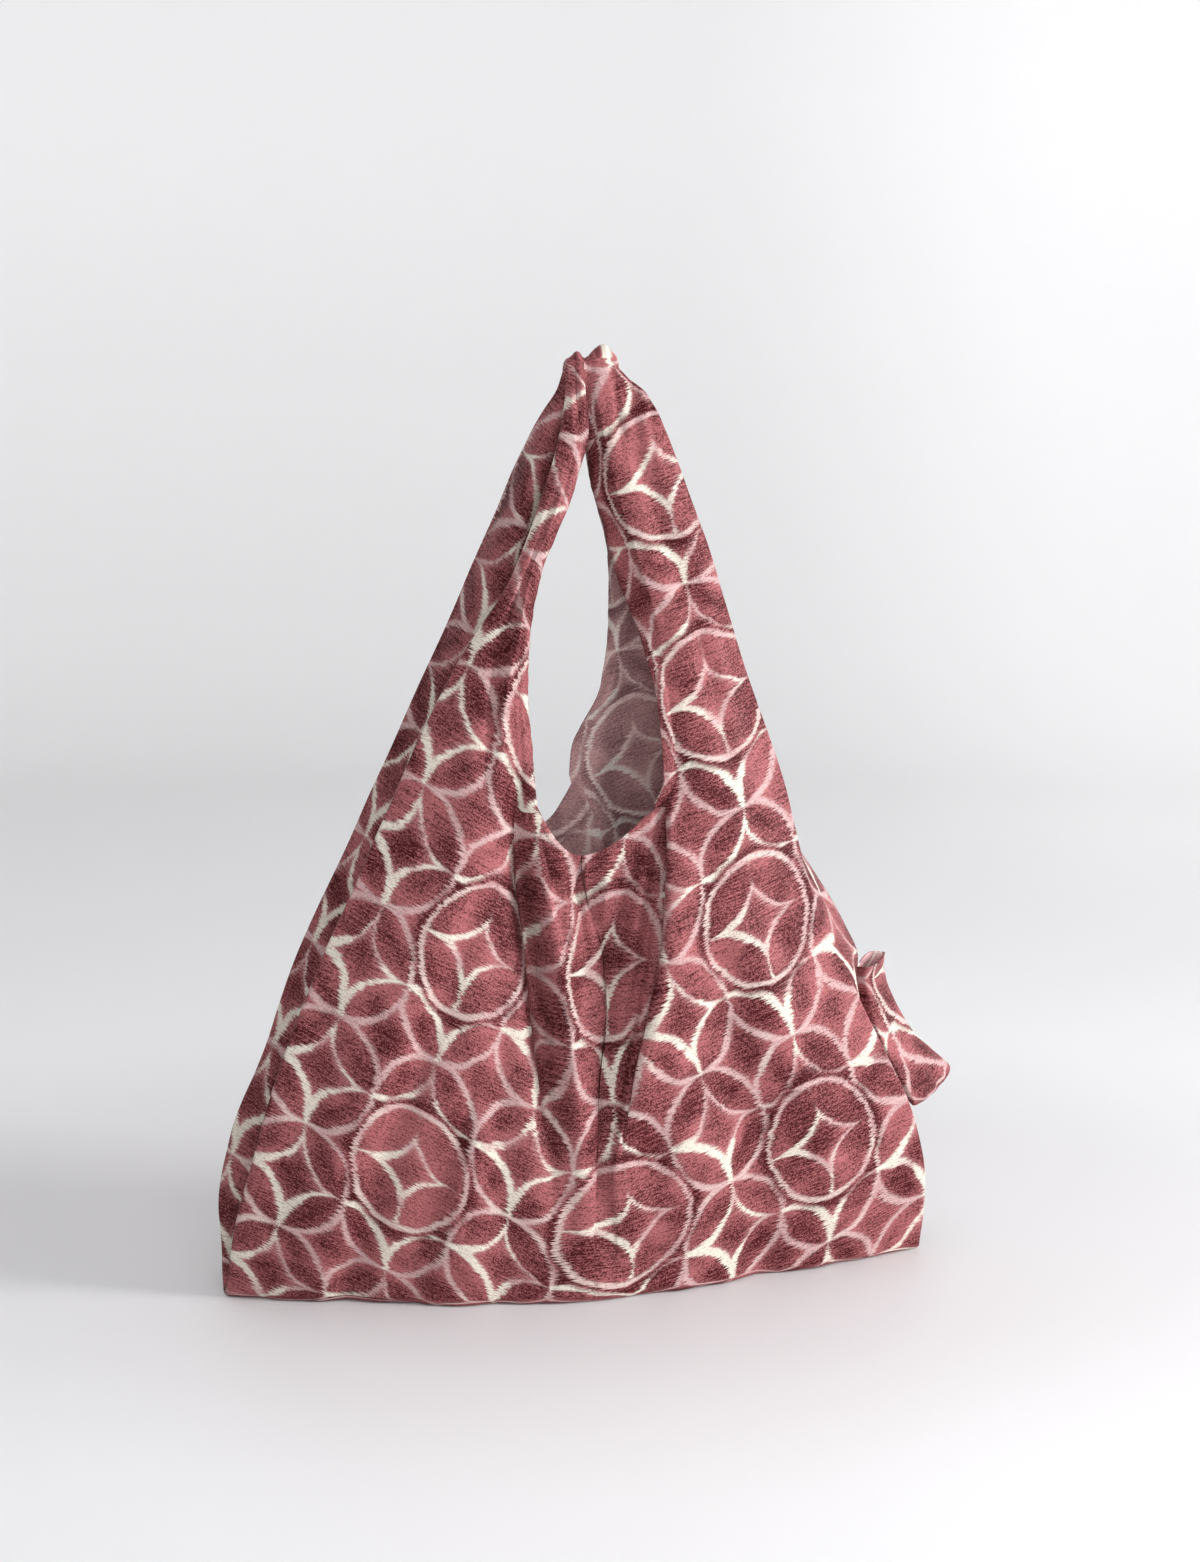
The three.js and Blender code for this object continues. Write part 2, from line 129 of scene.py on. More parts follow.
BACK_SECTIONS = (
    (0, -250, -40, 0, 40, 250, 5, 72, 76, 6, 6, 0, 0, 14, 12),
    (50, -251, -40, 2, 42, 248, 20, 73, 77, 8, 8, 0, 0, 14, 12),
    (100, -241, -38, 4, 44, 240, 32, 74, 78, 10, 10, 0, 0, 14, 12),
    (150, -220, -38, 3, 44, 216, 39, 72, 75, 11, 11, 0, 0, 14, 12),
    (200, -201, -40, 0, 41, 197, 43, 70, 71, 11, 11, 0, 0, 14, 12),
    (250, -180, -46, -5, 36, 176, 45, 68, 68, 11, 11, 0, 0, 14, 12),
    (300, -155, -56, -11, 30, 156, 45, 67, 67, 10, 10, 0, 0, 12, 10),
    (340, -137, -64, -13, 17, 139, 45, 66, 66, 9, 9, 0, 0, 10, 9),
    (360, -128, -65, -13, 18, 131, 44, 64, 66, 8, 9, 8, 0, 9, 9),
    (410, -105, -60, -13, 39, 114, 42, 60, 66, 6, 8, 20, 0, 9, 9),
    (450, -86, -54, -13, 43, 100, 40, 57, 66, 5, 7, 20, 10, 9, 9),
    (500, -65, -42, -13, 41, 83, 36, 51, 66, 4, 6, 20, 20, 9, 9),
    (550, -44, -25, -13, 27, 65, 30, 41, 66, 3, 4, 20, 20, 9, 9),
    (590, -27, -10, -13, 17, 49, 20, 28, 66, 2, 3, 15, 20, 9, 9),
    (620, -13, -4, -13, 9, 35, 9, 14, 66, 1, 1, 10, 10, 5, 7),
    (637, -9, -3, -13, 8, 27, 5, 7.5, 66, 0, 0, 0, 0, 3, 4),
)

# The seams down the two sides, and how far each panel's cloth keeps off the middle there
SEAM_COLUMNS = ("height", "left", "right", "apart")
SIDE_SEAMS = (
    (0, -190, 190, 0), (50, -187, 187, 0), (100, -184, 182, 0), (150, -175, 185, 0),
    (190, -163, 199, 0), (215, -156, 203, 0), (240, -147, 193, 0), (285, -132, 166, 0),
    (320, -115, 140, 0), (360, -90, 112, 0), (420, -62, 80, 0), (480, -42, 56, 0),
    (540, -24, 38, 0), (590, -12, 26, 0), (620, -5, 18, 0.1), (637, -4, 13, 0.2),
)

# How far each place across the handles' tops lies above or below the line of their fold
TOP_COLUMNS = ("x", "rise")
HANDLE_TOPS = ((-9, -6), (1, -2), (5, -6), (9, -3), (18, 3), (27, -5))

# How far the cloth runs back under a pleat's edge, on each half
TUCK_COLUMNS = ("height", "left", "right")
FRONT_TUCK = ((0, 0, 0), (90, 0, 0), (150, 0, 4), (220, 0, 9), (300, 0, 12), (340, 0, 9))
BACK_TUCK = ((0, 0, 0), (340, 0, 0))

# The path of that tucked cloth, column by column: shares of its run back, and of its way down
TUCK_BACK = (0.04, 0.5, 1.0, 1.02, 0.5, 0.02)
TUCK_DOWN = (0.12, 0.3, 0.42, 0.62, 0.76, 0.9)

# How far the left gusset swells beyond its own slack
BULGE_COLUMNS = ("height", "outwards", "forwards")
FRONT_BULGE = ((0, 0, 0), (HANDLE_SPRING, 0, 0))
BACK_BULGE = ((300, 0, 0), (400, 2, 6), (470, 5, 18), (540, 5, 18), (600, 2, 6), (HANDLE_SPRING, 0, 0))

# How the print lies on each half, in radii of its circles: where it starts at the side fold, across and up
PRINT_COLUMNS = ("height", "across", "up")
LEFT_PRINT = (
    (0, -0.65, -4.95), (22, -0.68, -4.31), (93, -0.76, -2.35), (169, -0.68, -0.31),
    (243, -0.60, 1.72), (319, -0.53, 3.76), (399, -0.29, 5.87), (500, 0.0, 8.6), (640, 0.2, 12.4),
)
RIGHT_PRINT = (
    (0, 12.10, -4.15), (36, 12.06, -3.22), (98, 12.0, -1.6), (195, 11.64, 0.90),
    (260, 11.29, 2.61), (415, 10.87, 6.74), (561, 10.45, 10.86), (640, 10.2, 13.1),
)


class Table:
    """Rows of numbers with named columns, read on a smooth curve through the rows."""

    def __init__(self, columns: tuple[str, ...], rows: tuple[tuple[float, ...], ...]) -> None:
        """Keeps the rows.

        Args:
            columns: The columns' names. The first is the one that the table is read along.
            rows: The numbers, in rising order of the first column.
        """
        self.columns = columns
        self.rows = rows
        self.keys = [row[0] for row in rows]

    def at(self, place: float) -> dict[str, float]:
        """Reads every column.

        Args:
            place: The value of the first column.

        Returns:
            Each column's value by its name.
        """
        last = len(self.rows) - 1
        place = min(max(place, self.keys[0]), self.keys[last])
        i = 0
        while i < last - 1 and self.keys[i + 1] < place:
            i += 1
        span = self.keys[i + 1] - self.keys[i]
        t = (place - self.keys[i]) / span
        found = {}
        for k, name in enumerate(self.columns):
            chord = self._slope(i, k)
            before = self._slope(i - 1, k) if i > 0 else chord
            after = self._slope(i + 1, k) if i < last - 1 else chord
            start = 2 * before * chord / (before + chord) if before * chord > 0 else 0
            end = 2 * chord * after / (chord + after) if chord * after > 0 else 0
            a, b = self.rows[i][k], self.rows[i + 1][k]
            bend = span * t * (1 - t) * (start * (1 - t) - end * t)
            found[name] = a + (b - a) * t * t * (3 - 2 * t) + bend
        return found

    def _slope(self, i: int, k: int) -> float:
        """The slope of column k from row i to the next."""
        return (self.rows[i + 1][k] - self.rows[i][k]) / (self.keys[i + 1] - self.keys[i])


class Half(Enum):
    """The left or right half of a panel, with the direction in which its side lies."""

    LEFT = -1
    RIGHT = 1

    @property
    def word(self) -> str:
        """Its name in the tables' columns."""
        return self.name.lower()


FOLD_COLUMNS = ("height", "x", "rise")

# How far the print climbs with each millimetre away from the side fold
PRINT_CLIMB = {Half.LEFT: 0.012, Half.RIGHT: 0.0078}

# How far each half's neckline runs level from the crease, as a share, and its roundness
FRONT_NECK = {Half.LEFT: (0.36, 0.8), Half.RIGHT: (0.12, 1.15)}
BACK_NECK = {Half.LEFT: (0.2, 1.0), Half.RIGHT: (0.2, 1.0)}


@dataclass
class Fold:
    """A long fold in a panel: where it runs, and how it lifts or sinks the cloth.

    Attributes:
        half: The half of the panel that it lies on.
        route: Rows of height, x and rise, from its lower end to its upper one.
        left: How far it spreads to its left.
        right: How far it spreads to its right.
        power: 2 for a soft round fold, and less for a sharp one.
    """

    half: Half
    route: tuple[tuple[float, float, float], ...]
    left: float
    right: float
    power: float = 2.0

    def __post_init__(self) -> None:
        """Makes the route a table."""
        self.table = Table(FOLD_COLUMNS, self.route)
        self.at = lru_cache(maxsize=None)(self.table.at)

    def rise(self, x: float, height: float) -> float:
        """How far the fold lifts the cloth at a place.

        Args:
            x: The place across the panel.
            height: Its height.

        Returns:
            The rise out of the panel, in millimetres.
        """
        row = self.at(round(height, 2))
        offset = x - row["x"]
        spread = self.left if offset < 0 else self.right
        beyond = max(self.table.keys[0] - height, height - self.table.keys[-1], 0) / FOLD_FADE
        return row["rise"] * math.exp(-abs(offset / spread) ** self.power - beyond * beyond)


FRONT_FOLDS = (
    # The deep channel below the neckline's left end, and the roll beside it
    Fold(Half.LEFT, ((70, -34, 0), (110, -34, -7), (157, -36, -16), (187, -38, -22), (217, -42, -27),
                     (247, -45, -30), (279, -49, -29), (306, -52, -22), (340, -55, -9), (400, -57, -3)),
         9, 6, 1.5),
    Fold(Half.LEFT, ((60, -12, 2), (120, -15, 7), (180, -21, 12), (240, -29, 14), (278, -33, 12),
                     (320, -39, 5)), 8, 11),
    # The sharp crease down the middle
    *(Fold(half, ((8, -7, -1.6), (52, -5, -2.4), (108, -1, -4), (158, 4, -7), (207, 9, -10),
                  (259, 7, -10), (283, 1, -7), (300, -4, -2)), 3, 9, 1.1) for half in Half),
    # The pleat's edge, where the right side of the panel stands forward, and the shaded cloth beside it
    Fold(Half.RIGHT, ((50, 12, 1), (91, 8, 4), (124, 14, 8), (146, 19, 12), (180, 28, 15), (213, 36, 16),
                      (257, 43, 16), (316, 47, 10), (360, 52, 3)), 2.5, 34, 2),
    Fold(Half.RIGHT, ((124, 10, 0), (160, 19, -4), (213, 29, -6), (257, 36, -6), (300, 41, -3)), 7, 6, 1.6),
    # The step low on the left, which runs down to the ground
    Fold(Half.LEFT, ((0, -124, -4), (12, -122, -6), (46, -111, -7), (61, -109, -7), (97, -100, -7),
                     (121, -93, -6), (146, -89, -4), (175, -84, -1)), 40, 3, 1.5),
    # Soft slanting folds of each side
    Fold(Half.LEFT, ((60, -196, 3), (140, -165, 6), (220, -128, 6), (300, -100, 5), (380, -84, 3)), 16, 20),
    Fold(Half.LEFT, ((20, -168, -4), (90, -150, -6), (170, -122, -6), (260, -88, -5)), 14, 12),
    Fold(Half.LEFT, ((10, -70, -2), (80, -68, -5), (170, -66, -6), (260, -72, -4)), 12, 14),
    Fold(Half.RIGHT, ((30, 176, 4), (110, 158, 6), (190, 126, 6), (280, 96, 6), (360, 84, 3)), 22, 18),
    Fold(Half.RIGHT, ((10, 120, -4), (90, 112, -6), (170, 92, -6), (260, 76, -5)), 14, 16),
    Fold(Half.RIGHT, ((8, 62, 2), (60, 58, 4), (130, 54, 4), (190, 60, 2)), 12, 16),
    # Gathers that run down from the neckline
    Fold(Half.RIGHT, ((205, 13, 0), (245, 16, -4), (278, 19, -7), (300, 24, -6), (318, 30, -2)), 3.5, 5, 1.5),
    Fold(Half.RIGHT, ((220, 23, 0), (262, 25, 5), (296, 29, 6), (325, 36, 3)), 4.5, 5, 1.6),
    Fold(Half.LEFT, ((225, -16, 0), (262, -18, 6), (292, -21, 7), (318, -26, 4)), 5, 4, 1.6),
    Fold(Half.LEFT, ((235, -26, 0), (265, -29, -6), (300, -34, -7), (325, -40, -3)), 4, 5, 1.5),
    Fold(Half.LEFT, ((245, -8, 0), (275, -10, -5), (300, -12, -5)), 3, 4, 1.5),
    Fold(Half.RIGHT, ((250, 3, 0), (278, 4, 4), (305, 6, 5)), 4, 4, 1.6),
    # Folds along the handles
    Fold(Half.LEFT, ((370, -78, -1), (430, -68, -6), (490, -48, -8), (550, -25, -6), (600, -11, -3)),
         4, 5, 1.4),
    Fold(Half.LEFT, ((360, -70, 1), (430, -60, 5), (490, -41, 5), (550, -20, 3)), 4, 4, 1.6),
    Fold(Half.RIGHT, ((360, 92, 0), (440, 76, -4), (520, 50, -4), (600, 24, -3)), 6, 9, 1.6),
    Fold(Half.RIGHT, ((480, 84, 2), (540, 62, 3), (600, 38, 2)), 8, 8),
)
BACK_FOLDS = (
    Fold(Half.LEFT, ((60, -38, 0), (120, -38, -5), (200, -41, -10), (260, -47, -12), (320, -60, -9),
                     (400, -60, -3)), 12, 10, 1.6),
    Fold(Half.RIGHT, ((60, 42, 0), (120, 44, -5), (200, 41, -10), (260, 35, -11), (320, 24, -7),
                      (400, 36, -3)), 10, 12, 1.6),
    Fold(Half.LEFT, ((30, -20, 1), (120, -18, 4), (220, -24, 7), (300, -34, 5)), 10, 14),
    Fold(Half.RIGHT, ((10, 90, 3), (110, 92, 5), (210, 84, 5), (320, 62, 3)), 24, 26),
    Fold(Half.LEFT, ((10, -120, 3), (110, -112, 5), (210, -96, 4), (320, -84, 3)), 26, 22),
    Fold(Half.RIGHT, ((10, 160, -3), (100, 150, -4), (200, 128, -4), (290, 100, -2)), 20, 18),
    Fold(Half.LEFT, ((10, -176, -3), (100, -166, -4), (200, -138, -4), (290, -110, -2)), 18, 20),
    *(Fold(half, ((8, 4, -2), (90, 6, -3), (180, 4, -4), (270, -4, -4)), 6, 9, 1.4) for half in Half),
)


def smooth_step(value: float, low: float, high: float) -> float:
    """How far a value is from low to high, as a smooth share from 0 to 1."""
    t = min(max((value - low) / (high - low), 0), 1)
    return t * t * (3 - 2 * t)


def mix(a: float, b: float, share: float) -> float:
    """The value part of the way from a to b."""
    return a + (b - a) * share


def ripple(x: float, y: float, z: float, wave: float, seed: float) -> float:
    """A soft uneven swell from about -1 to 1.

    Args:
        x: The place across.
        y: The place in depth.
        z: The height.
        wave: The length of the swell.
        seed: Any number, which gives another swell.

    Returns:
        The swell's height there.
    """
    return noise.noise(Vector((x / wave + seed, y / wave - seed, z / wave + 2 * seed)))


@dataclass
class SectionPoint:
    """A point of a section. Beyond is how far it lies past the side fold, or below zero on a hem."""

    x: float
    depth: float
    z: float
    beyond: float = 0.0


@dataclass
class Panel:
    """One panel of the bag, with its halves of both handles, its half of the gussets and of the base.

    Attributes:
        name: The piece's name.
        node: The solid that it stands for.
        side: 1 for the front, whose depth is towards -Y, and -1 for the back.
        sections: The table of its sections.
        folds: Its long folds.
        tuck: How far the cloth runs back under the pleat's edge, by height, on each half.
        neck: How each half's neckline runs.
        bulge: How far the left handle's gusset swells forwards and outwards, by height.
        print_shift: How far the print is moved, across and up, in radii of its circles.
        seed: Gives its wrinkles.
    """

    name: str
    node: str
    side: int
    sections: Table
    folds: tuple[Fold, ...]
    tuck: Table
    neck: dict[Half, tuple[float, float]]
    bulge: Table
    print_shift: tuple[float, float]
    seed: float
    # The net's columns from the side seam on, and its rows from the seam along the base on
    gusset_columns: int = 13
    round_columns: int = 5
    face_columns: int = 56
    tuck_columns: int = 6
    hem_columns: int = 12
    middle_columns: int = 20
    base_rows: int = 10
    base_fold_rows: int = 4
    body_rows: int = 104
    neck_rows: int = 8
    handle_rows: int = 82
    top_rows: int = 7

    def __post_init__(self) -> None:
        """Works out the net's columns and rows, and remembers what is read from the tables."""
        self.seams = Table(SEAM_COLUMNS, SIDE_SEAMS)
        self.tops = Table(TOP_COLUMNS, HANDLE_TOPS)
        self.print = {
            Half.LEFT: Table(PRINT_COLUMNS, LEFT_PRINT),
            Half.RIGHT: Table(PRINT_COLUMNS, RIGHT_PRINT),
        }
        self.section_at = lru_cache(maxsize=None)(self.sections.at)
        self.seam_at = lru_cache(maxsize=None)(self.seams.at)
        self.face_start = self.gusset_columns + self.round_columns
        self.crease_column = self.face_start + self.face_columns
        self.columns = self.crease_column + self.tuck_columns + self.middle_columns
        heights = []
        for bottom, top, rows in (
            (WALL_FOOT, NECK_HEIGHT - HEM_BAND, self.body_rows),
            (NECK_HEIGHT - HEM_BAND, NECK_HEIGHT, self.neck_rows),
            (NECK_HEIGHT, HANDLE_SPRING, self.handle_rows),
        ):
            heights += [mix(bottom, top, i / rows) for i in range(rows)]
        self.wall_heights = [*heights, HANDLE_SPRING]
        self.wall_row = self.base_rows + self.base_fold_rows
        self.rows = self.wall_row + len(heights) + self.top_rows

    def fold_edge(self, half: Half, height: float) -> float:
        """Where the side fold's outer edge lies across the bag."""
        section = self.section_at(round(height, 2))
        wobble = 1.6 * ripple(0, self.side * 40, height, 46, self.seed + half.value)
        fade = smooth_step(height, 0, 30) * (1 - smooth_step(height, HANDLE_CALM_FROM, HANDLE_CALM_TO))
        return section[f"{half.word}_fold"] + wobble * fade

    def lift(self, half: Half, x: float, height: float) -> float:
        """How far the folds and wrinkles lift the cloth.

        Args:
            half: The half of the panel.
            x: The place across.
            height: Its height.

        Returns:
            The rise out of the panel.
        """
        rise = sum(fold.rise(x, height) for fold in self.folds if fold.half is half)
        # Wrinkles run mostly down the cloth, so they are longer that way
        calm = 1 - 0.6 * smooth_step(height, 430, 620)
        lean = x * 0.96 + half.value * height * 0.3
        low = 1 - smooth_step(height, 0, 60)
        rise += calm * 3.8 * ripple(lean, 0, height * 0.4, 38, self.seed)
        rise += calm * 1.9 * ripple(lean, 10, height * 0.5, 17, self.seed + 3)
        rise += 0.7 * ripple(x, 20, height, 9, self.seed + 5)
        return rise + low * 2.0 * ripple(x, 30, height * 0.6, 24, self.seed + 7)

    def half_section(self, half: Half, height: float) -> list[SectionPoint]:
        """The section of one half at a height, from the side seam to the middle or the hem's edge.

        Args:
            half: The half of the panel.
            height: The row's height, which the rows near the neck dip below.

        Returns:
            A point for each column of the net. Depths are measured out of the bag.
        """
        s = self.section_at(round(height, 2))
        seams = self.seam_at(round(height, 2))
        outward = half.value
        full, hem, turn = (s[f"{half.word}_{name}"] for name in ("full", "hem", "turn"))
        crease = Vector((s[f"{half.word}_crease"], s["crease_depth"]))
        middle = Vector((s["middle"], s["middle_depth"]))
        fold = Vector((self.fold_edge(half, height) - outward * SIDE_FOLD_RADIUS, s["fold_depth"]))
        seam = Vector((seams[half.word], min(SEAM_OFFSET + seams["apart"], fold.y / 2)))
        points = self._gusset(fold, seam, crease, outward, height)
        start = Vector((points[-1].x, points[-1].depth))
        for i in range(1, self.face_columns + 1):
            share = 1 - (1 - i / self.face_columns) ** FACE_PULL
            flat = start.lerp(crease, share)
            fade = smooth_step(abs(flat.x - start.x), 0, SIDE_FOLD_CLEAR)
            depth = flat.y + full * 4 * share * (1 - share) + fade * self.lift(half, flat.x, height)
            points.append(SectionPoint(flat.x, depth, height))
        if height > NECK_HEIGHT:
            self._hem(points, half, hem, math.radians(turn), height)
            return points
        self._middle(points, half, crease, middle, height)
        span = abs(middle.x - crease.x)
        dip = NECK_DIP * min(max((height - NECK_DIP_FROM) / (NECK_HEIGHT - NECK_DIP_FROM), 0), 1)
        level, roundness = self.neck[half]
        for point in points:
            across = -outward * (point.x - crease.x) / span
            share = min(max((across - level) / (1 - level), 0), 1)
            point.z = height - dip * math.sin(share * math.pi / 2) ** roundness
            from_edge = NECK_HEIGHT - height
            point.depth += self._hem_relief(from_edge, point.x) * smooth_step(across, -0.1, 0.1)
        return points

    def _hem_relief(self, from_edge: float, along: float) -> float:
        """How far the hem's doubled cloth stands out, with its stitched line and its puckers."""
        doubled = HEM_RELIEF * (1 - smooth_step(from_edge, HEM_WIDTH - 2, HEM_WIDTH))
        stitched = STITCH_RELIEF * math.exp(-(((from_edge - HEM_WIDTH + 2) / 1.2) ** 2))
        puckers = PUCKER_RELIEF * ripple(along, 0, 0, 7, self.seed + 11) * math.exp(-from_edge / 14)
        return doubled + stitched + puckers

    def _gusset(
        self, fold: Vector, seam: Vector, crease: Vector, outward: int, height: float
    ) -> list[SectionPoint]:
        """The points from the side seam to where the face starts, round the side fold."""
        def touch(point: Vector, side: int) -> float:
            """The angle at which a line from a point touches the round of the fold."""
            way = point - fold
            return math.atan2(way.y, way.x) + side * math.acos(min(1, SIDE_FOLD_RADIUS / way.length))

        def around(angle: float) -> Vector:
            """The point of the round at an angle."""
            return fold + SIDE_FOLD_RADIUS * Vector((math.cos(angle), math.sin(angle)))

        face_angle = touch(crease, -outward)
        gusset_angle = touch(seam, outward)
        sweep = outward * ((outward * (face_angle - gusset_angle)) % (2 * math.pi))
        end = around(gusset_angle)
        round_length = abs(sweep) * SIDE_FOLD_RADIUS
        length = (end - seam).length
        slack = min(GUSSET_SLACK, GUSSET_SLACK_SHARE * fold.y)
        slack *= 1 - smooth_step(height, HANDLE_CALM_FROM, HANDLE_CALM_TO)
        points = []
        for i in range(self.gusset_columns):
            share = i / self.gusset_columns
            place = seam.lerp(end, share)
            swell = math.sin(math.pi * share) * slack
            wave = ripple(share * 60, 0, height * 0.35, 26, self.seed + 13 * outward)
            place.y += swell * (0.35 + 1.1 * wave)
            if outward < 0:
                row = self.bulge.at(height)
                place += math.sin(math.pi * share) * Vector((-row["outwards"], -row["forwards"]))
            beyond = (1 - share) * length + round_length / 2
            foot = height - (WALL_FOOT - BASE_HEIGHT - 0.3) * (1 - smooth_step(height, WALL_FOOT, 30))
            points.append(SectionPoint(place.x, place.y, foot, beyond))
        for i in range(self.round_columns + 1):
            share = i / self.round_columns
            place = around(gusset_angle + sweep * share)
            points.append(SectionPoint(place.x, place.y, height, (0.5 - share) * round_length))
        return points

    def _hem(self, points: list[SectionPoint], half: Half, hem: float, turn: float, height: float) -> None:
        """Adds the columns of the hem beside a handle's inner edge, and raises the handles' tops."""
        outward = half.value
        edge = points[-1]
        count = self.hem_columns
        spare = self.tuck_columns + self.middle_columns - count
        way = Vector((-outward * math.cos(turn), -math.sin(turn)))
        out = Vector((-way.y * -outward, way.x * -outward))
        settle = 1 - smooth_step(height, NECK_HEIGHT, NECK_HEIGHT + HEM_SETTLE)
        wide = min(1, hem / HEM_WIDTH)
        folded = smooth_step(turn, 0.7, 1.0)
        for i in range(1, count + 1):
            gathered = max(0.012 * i, (i - self.tuck_columns) / (count - self.tuck_columns))
            share = mix(i / count, gathered, settle)
            relief = self._hem_relief(hem * (1 - share), height) * wide
            bend = HEM_BEND * math.sin(math.pi * share) * wide
            place = Vector((edge.x, edge.depth)) + way * hem * share + out * (bend + relief)
            place.y += settle * self._strip_rise(half, place.x - edge.x)
            # A hem that is folded far back drops sharply behind the handle's edge
            place.y -= HEM_DROP * folded * smooth_step(share, 0, 0.12) * (1 - smooth_step(share, 0.2, 0.8))
            points.append(SectionPoint(place.x, place.y, height, -hem * share))
        points.extend(SectionPoint(points[-1].x, points[-1].depth, height, -hem) for _ in range(spare))
        gather = smooth_step(height, GATHER_FROM, HANDLE_SPRING)
        tilt = smooth_step(height, HANDLE_TILT_FROM, HANDLE_SPRING)
        for point in points:
            rise = self.tops.at(point.x)["rise"]
            rise += 1.6 * ripple(point.x, self.side * 9, 0, 5.5, self.seed + 17)
            point.z = height + tilt * rise
            pleat = ripple(point.x, self.side * 30, height * 0.12, 6.5, self.seed + 19)
            point.depth += GATHER_RELIEF * gather * pleat * min(1, point.depth / 12)

    def _strip_rise(self, half: Half, offset: float) -> float:
        """How far the neckline's edge stands out, at a distance from the handle's crease."""
        s = self.section_at(NECK_HEIGHT)
        crease = s[f"{half.word}_crease"]
        slope = (s["middle_depth"] - s["crease_depth"]) / abs(s["middle"] - crease)
        lifted = self.lift(half, crease + offset, NECK_HEIGHT) - self.lift(half, crease, NECK_HEIGHT)
        return slope * abs(offset) + lifted

    def _middle(
        self, points: list[SectionPoint], half: Half, crease: Vector, middle: Vector, height: float
    ) -> None:
        """Adds the columns under the pleat's edge and on to the panel's middle."""
        outward = half.value
        edge = points[-1]
        tuck = self.tuck.at(height)[half.word]
        first = crease.lerp(middle, 0.06)
        low = first.y + self.lift(half, first.x, height)
        drop = max(edge.depth - low, 0.0)
        for k in range(self.tuck_columns):
            x = edge.x + outward * tuck * TUCK_BACK[k] - outward * 0.3 * (k + 1)
            depth = edge.depth - (drop + 2.2 * min(1, tuck / 4)) * TUCK_DOWN[k]
            points.append(SectionPoint(x, depth, height))
        start_x = points[-1].x
        level = self.neck[half][0]
        edge_columns = self.hem_columns - self.tuck_columns
        for i in range(1, self.middle_columns + 1):
            if i <= edge_columns:
                share = level * i / edge_columns
            else:
                share = mix(level, 1, (i - edge_columns) / (self.middle_columns - edge_columns))
            x = mix(start_x, middle.x, share)
            base = mix(crease.y, middle.y, abs(x - crease.x) / max(abs(middle.x - crease.x), 1))
            ease = smooth_step(share, 0, 0.12)
            depth = base + self.lift(half, x, height)
            points.append(SectionPoint(x, mix(points[-1].depth, depth, max(ease, 0.3)), height))

    def net_point(self, half: Half, row: int, column: int) -> Vector:
        """The place of one point of the net, in metres."""
        point = self.row_points(half, row)[column]
        return Vector((point.x, -self.side * point.depth, point.z)) * MM

    def row_points(self, half: Half, row: int) -> list[SectionPoint]:
        """The points of one row of the net, whether it lies in the base, the wall or the handles' tops."""
        last_wall = self.rows - self.top_rows
        if row < self.wall_row:
            return [self._base_point(p, row) for p in self.wall_points(half, WALL_FOOT)]
        if row <= last_wall:
            return self.wall_points(half, self.wall_heights[row - self.wall_row])
        angle = (row - last_wall) / self.top_rows * math.pi / 2
        near, up = math.cos(angle), math.sin(angle)
        return [
            SectionPoint(p.x, max(p.depth * near, TOP_SEAM), p.z + p.depth * up, p.beyond)
            for p in self.wall_points(half, HANDLE_SPRING)
        ]

    def _base_point(self, p: SectionPoint, row: int) -> SectionPoint:
        """Moves a point of the wall's foot to its place on the base."""
        radius = min(BASE_FOLD_RADIUS, p.depth * BASE_FOLD_SHARE)
        if row < self.base_rows:
            seam = BASE_SEAM_SHIFT * max(0.0, 1 - (p.x / BASE_HALF_LENGTH) ** 2)
            depth = mix(SEAM_GAP / 2 - self.side * seam, p.depth - radius, row / (self.base_rows - 1))
            return SectionPoint(p.x, depth, BASE_HEIGHT, p.beyond)
        angle = (row - self.base_rows + 1) / (self.base_fold_rows + 1) * math.pi / 2
        z = BASE_HEIGHT + (WALL_FOOT - BASE_HEIGHT) * (1 - math.cos(angle))
        return SectionPoint(p.x, p.depth - radius * (1 - math.sin(angle)), z, p.beyond)

    def side_print(self, half: Half, point: SectionPoint, column: int) -> Vector:
        """Where a point of the side, the face or a hem lies on the print, in radii of its circles."""
        outward = half.value
        row = self.print[half].at(point.z)
        if column <= self.face_start:
            away = -point.beyond
            climb = point.beyond
        else:
            away = -outward * (point.x - self.fold_edge(half, min(point.z, HANDLE_SPRING)))
            if point.beyond < 0:
                away += 0.6 * -point.beyond
            climb = away
        across = row["across"] - outward * PRINT_RATE * away
        return Vector((across, row["up"] + PRINT_CLIMB[half] * abs(climb)))

    def strip_print(self, point: SectionPoint) -> Vector:
        """Where a point between the panel's two long creases lies on the print.

        The folds hide cloth beside those creases, so the print jumps there.
        """
        height = min(max(point.z, 0), NECK_HEIGHT)
        s = self.section_at(round(height, 1))
        left, right = (
            self.side_print(half, SectionPoint(s[f"{half.word}_crease"], 0, height), self.crease_column)
            for half in Half
        )
        width = s["right_crease"] - s["left_crease"]
        share = (point.x - s["left_crease"]) / width
        jump = 0.5 * max(0.0, (right.x - left.x) - 1.25 * width * PRINT_RATE)
        return Vector((mix(left.x + jump, right.x - jump, share), mix(left.y, right.y, share)))

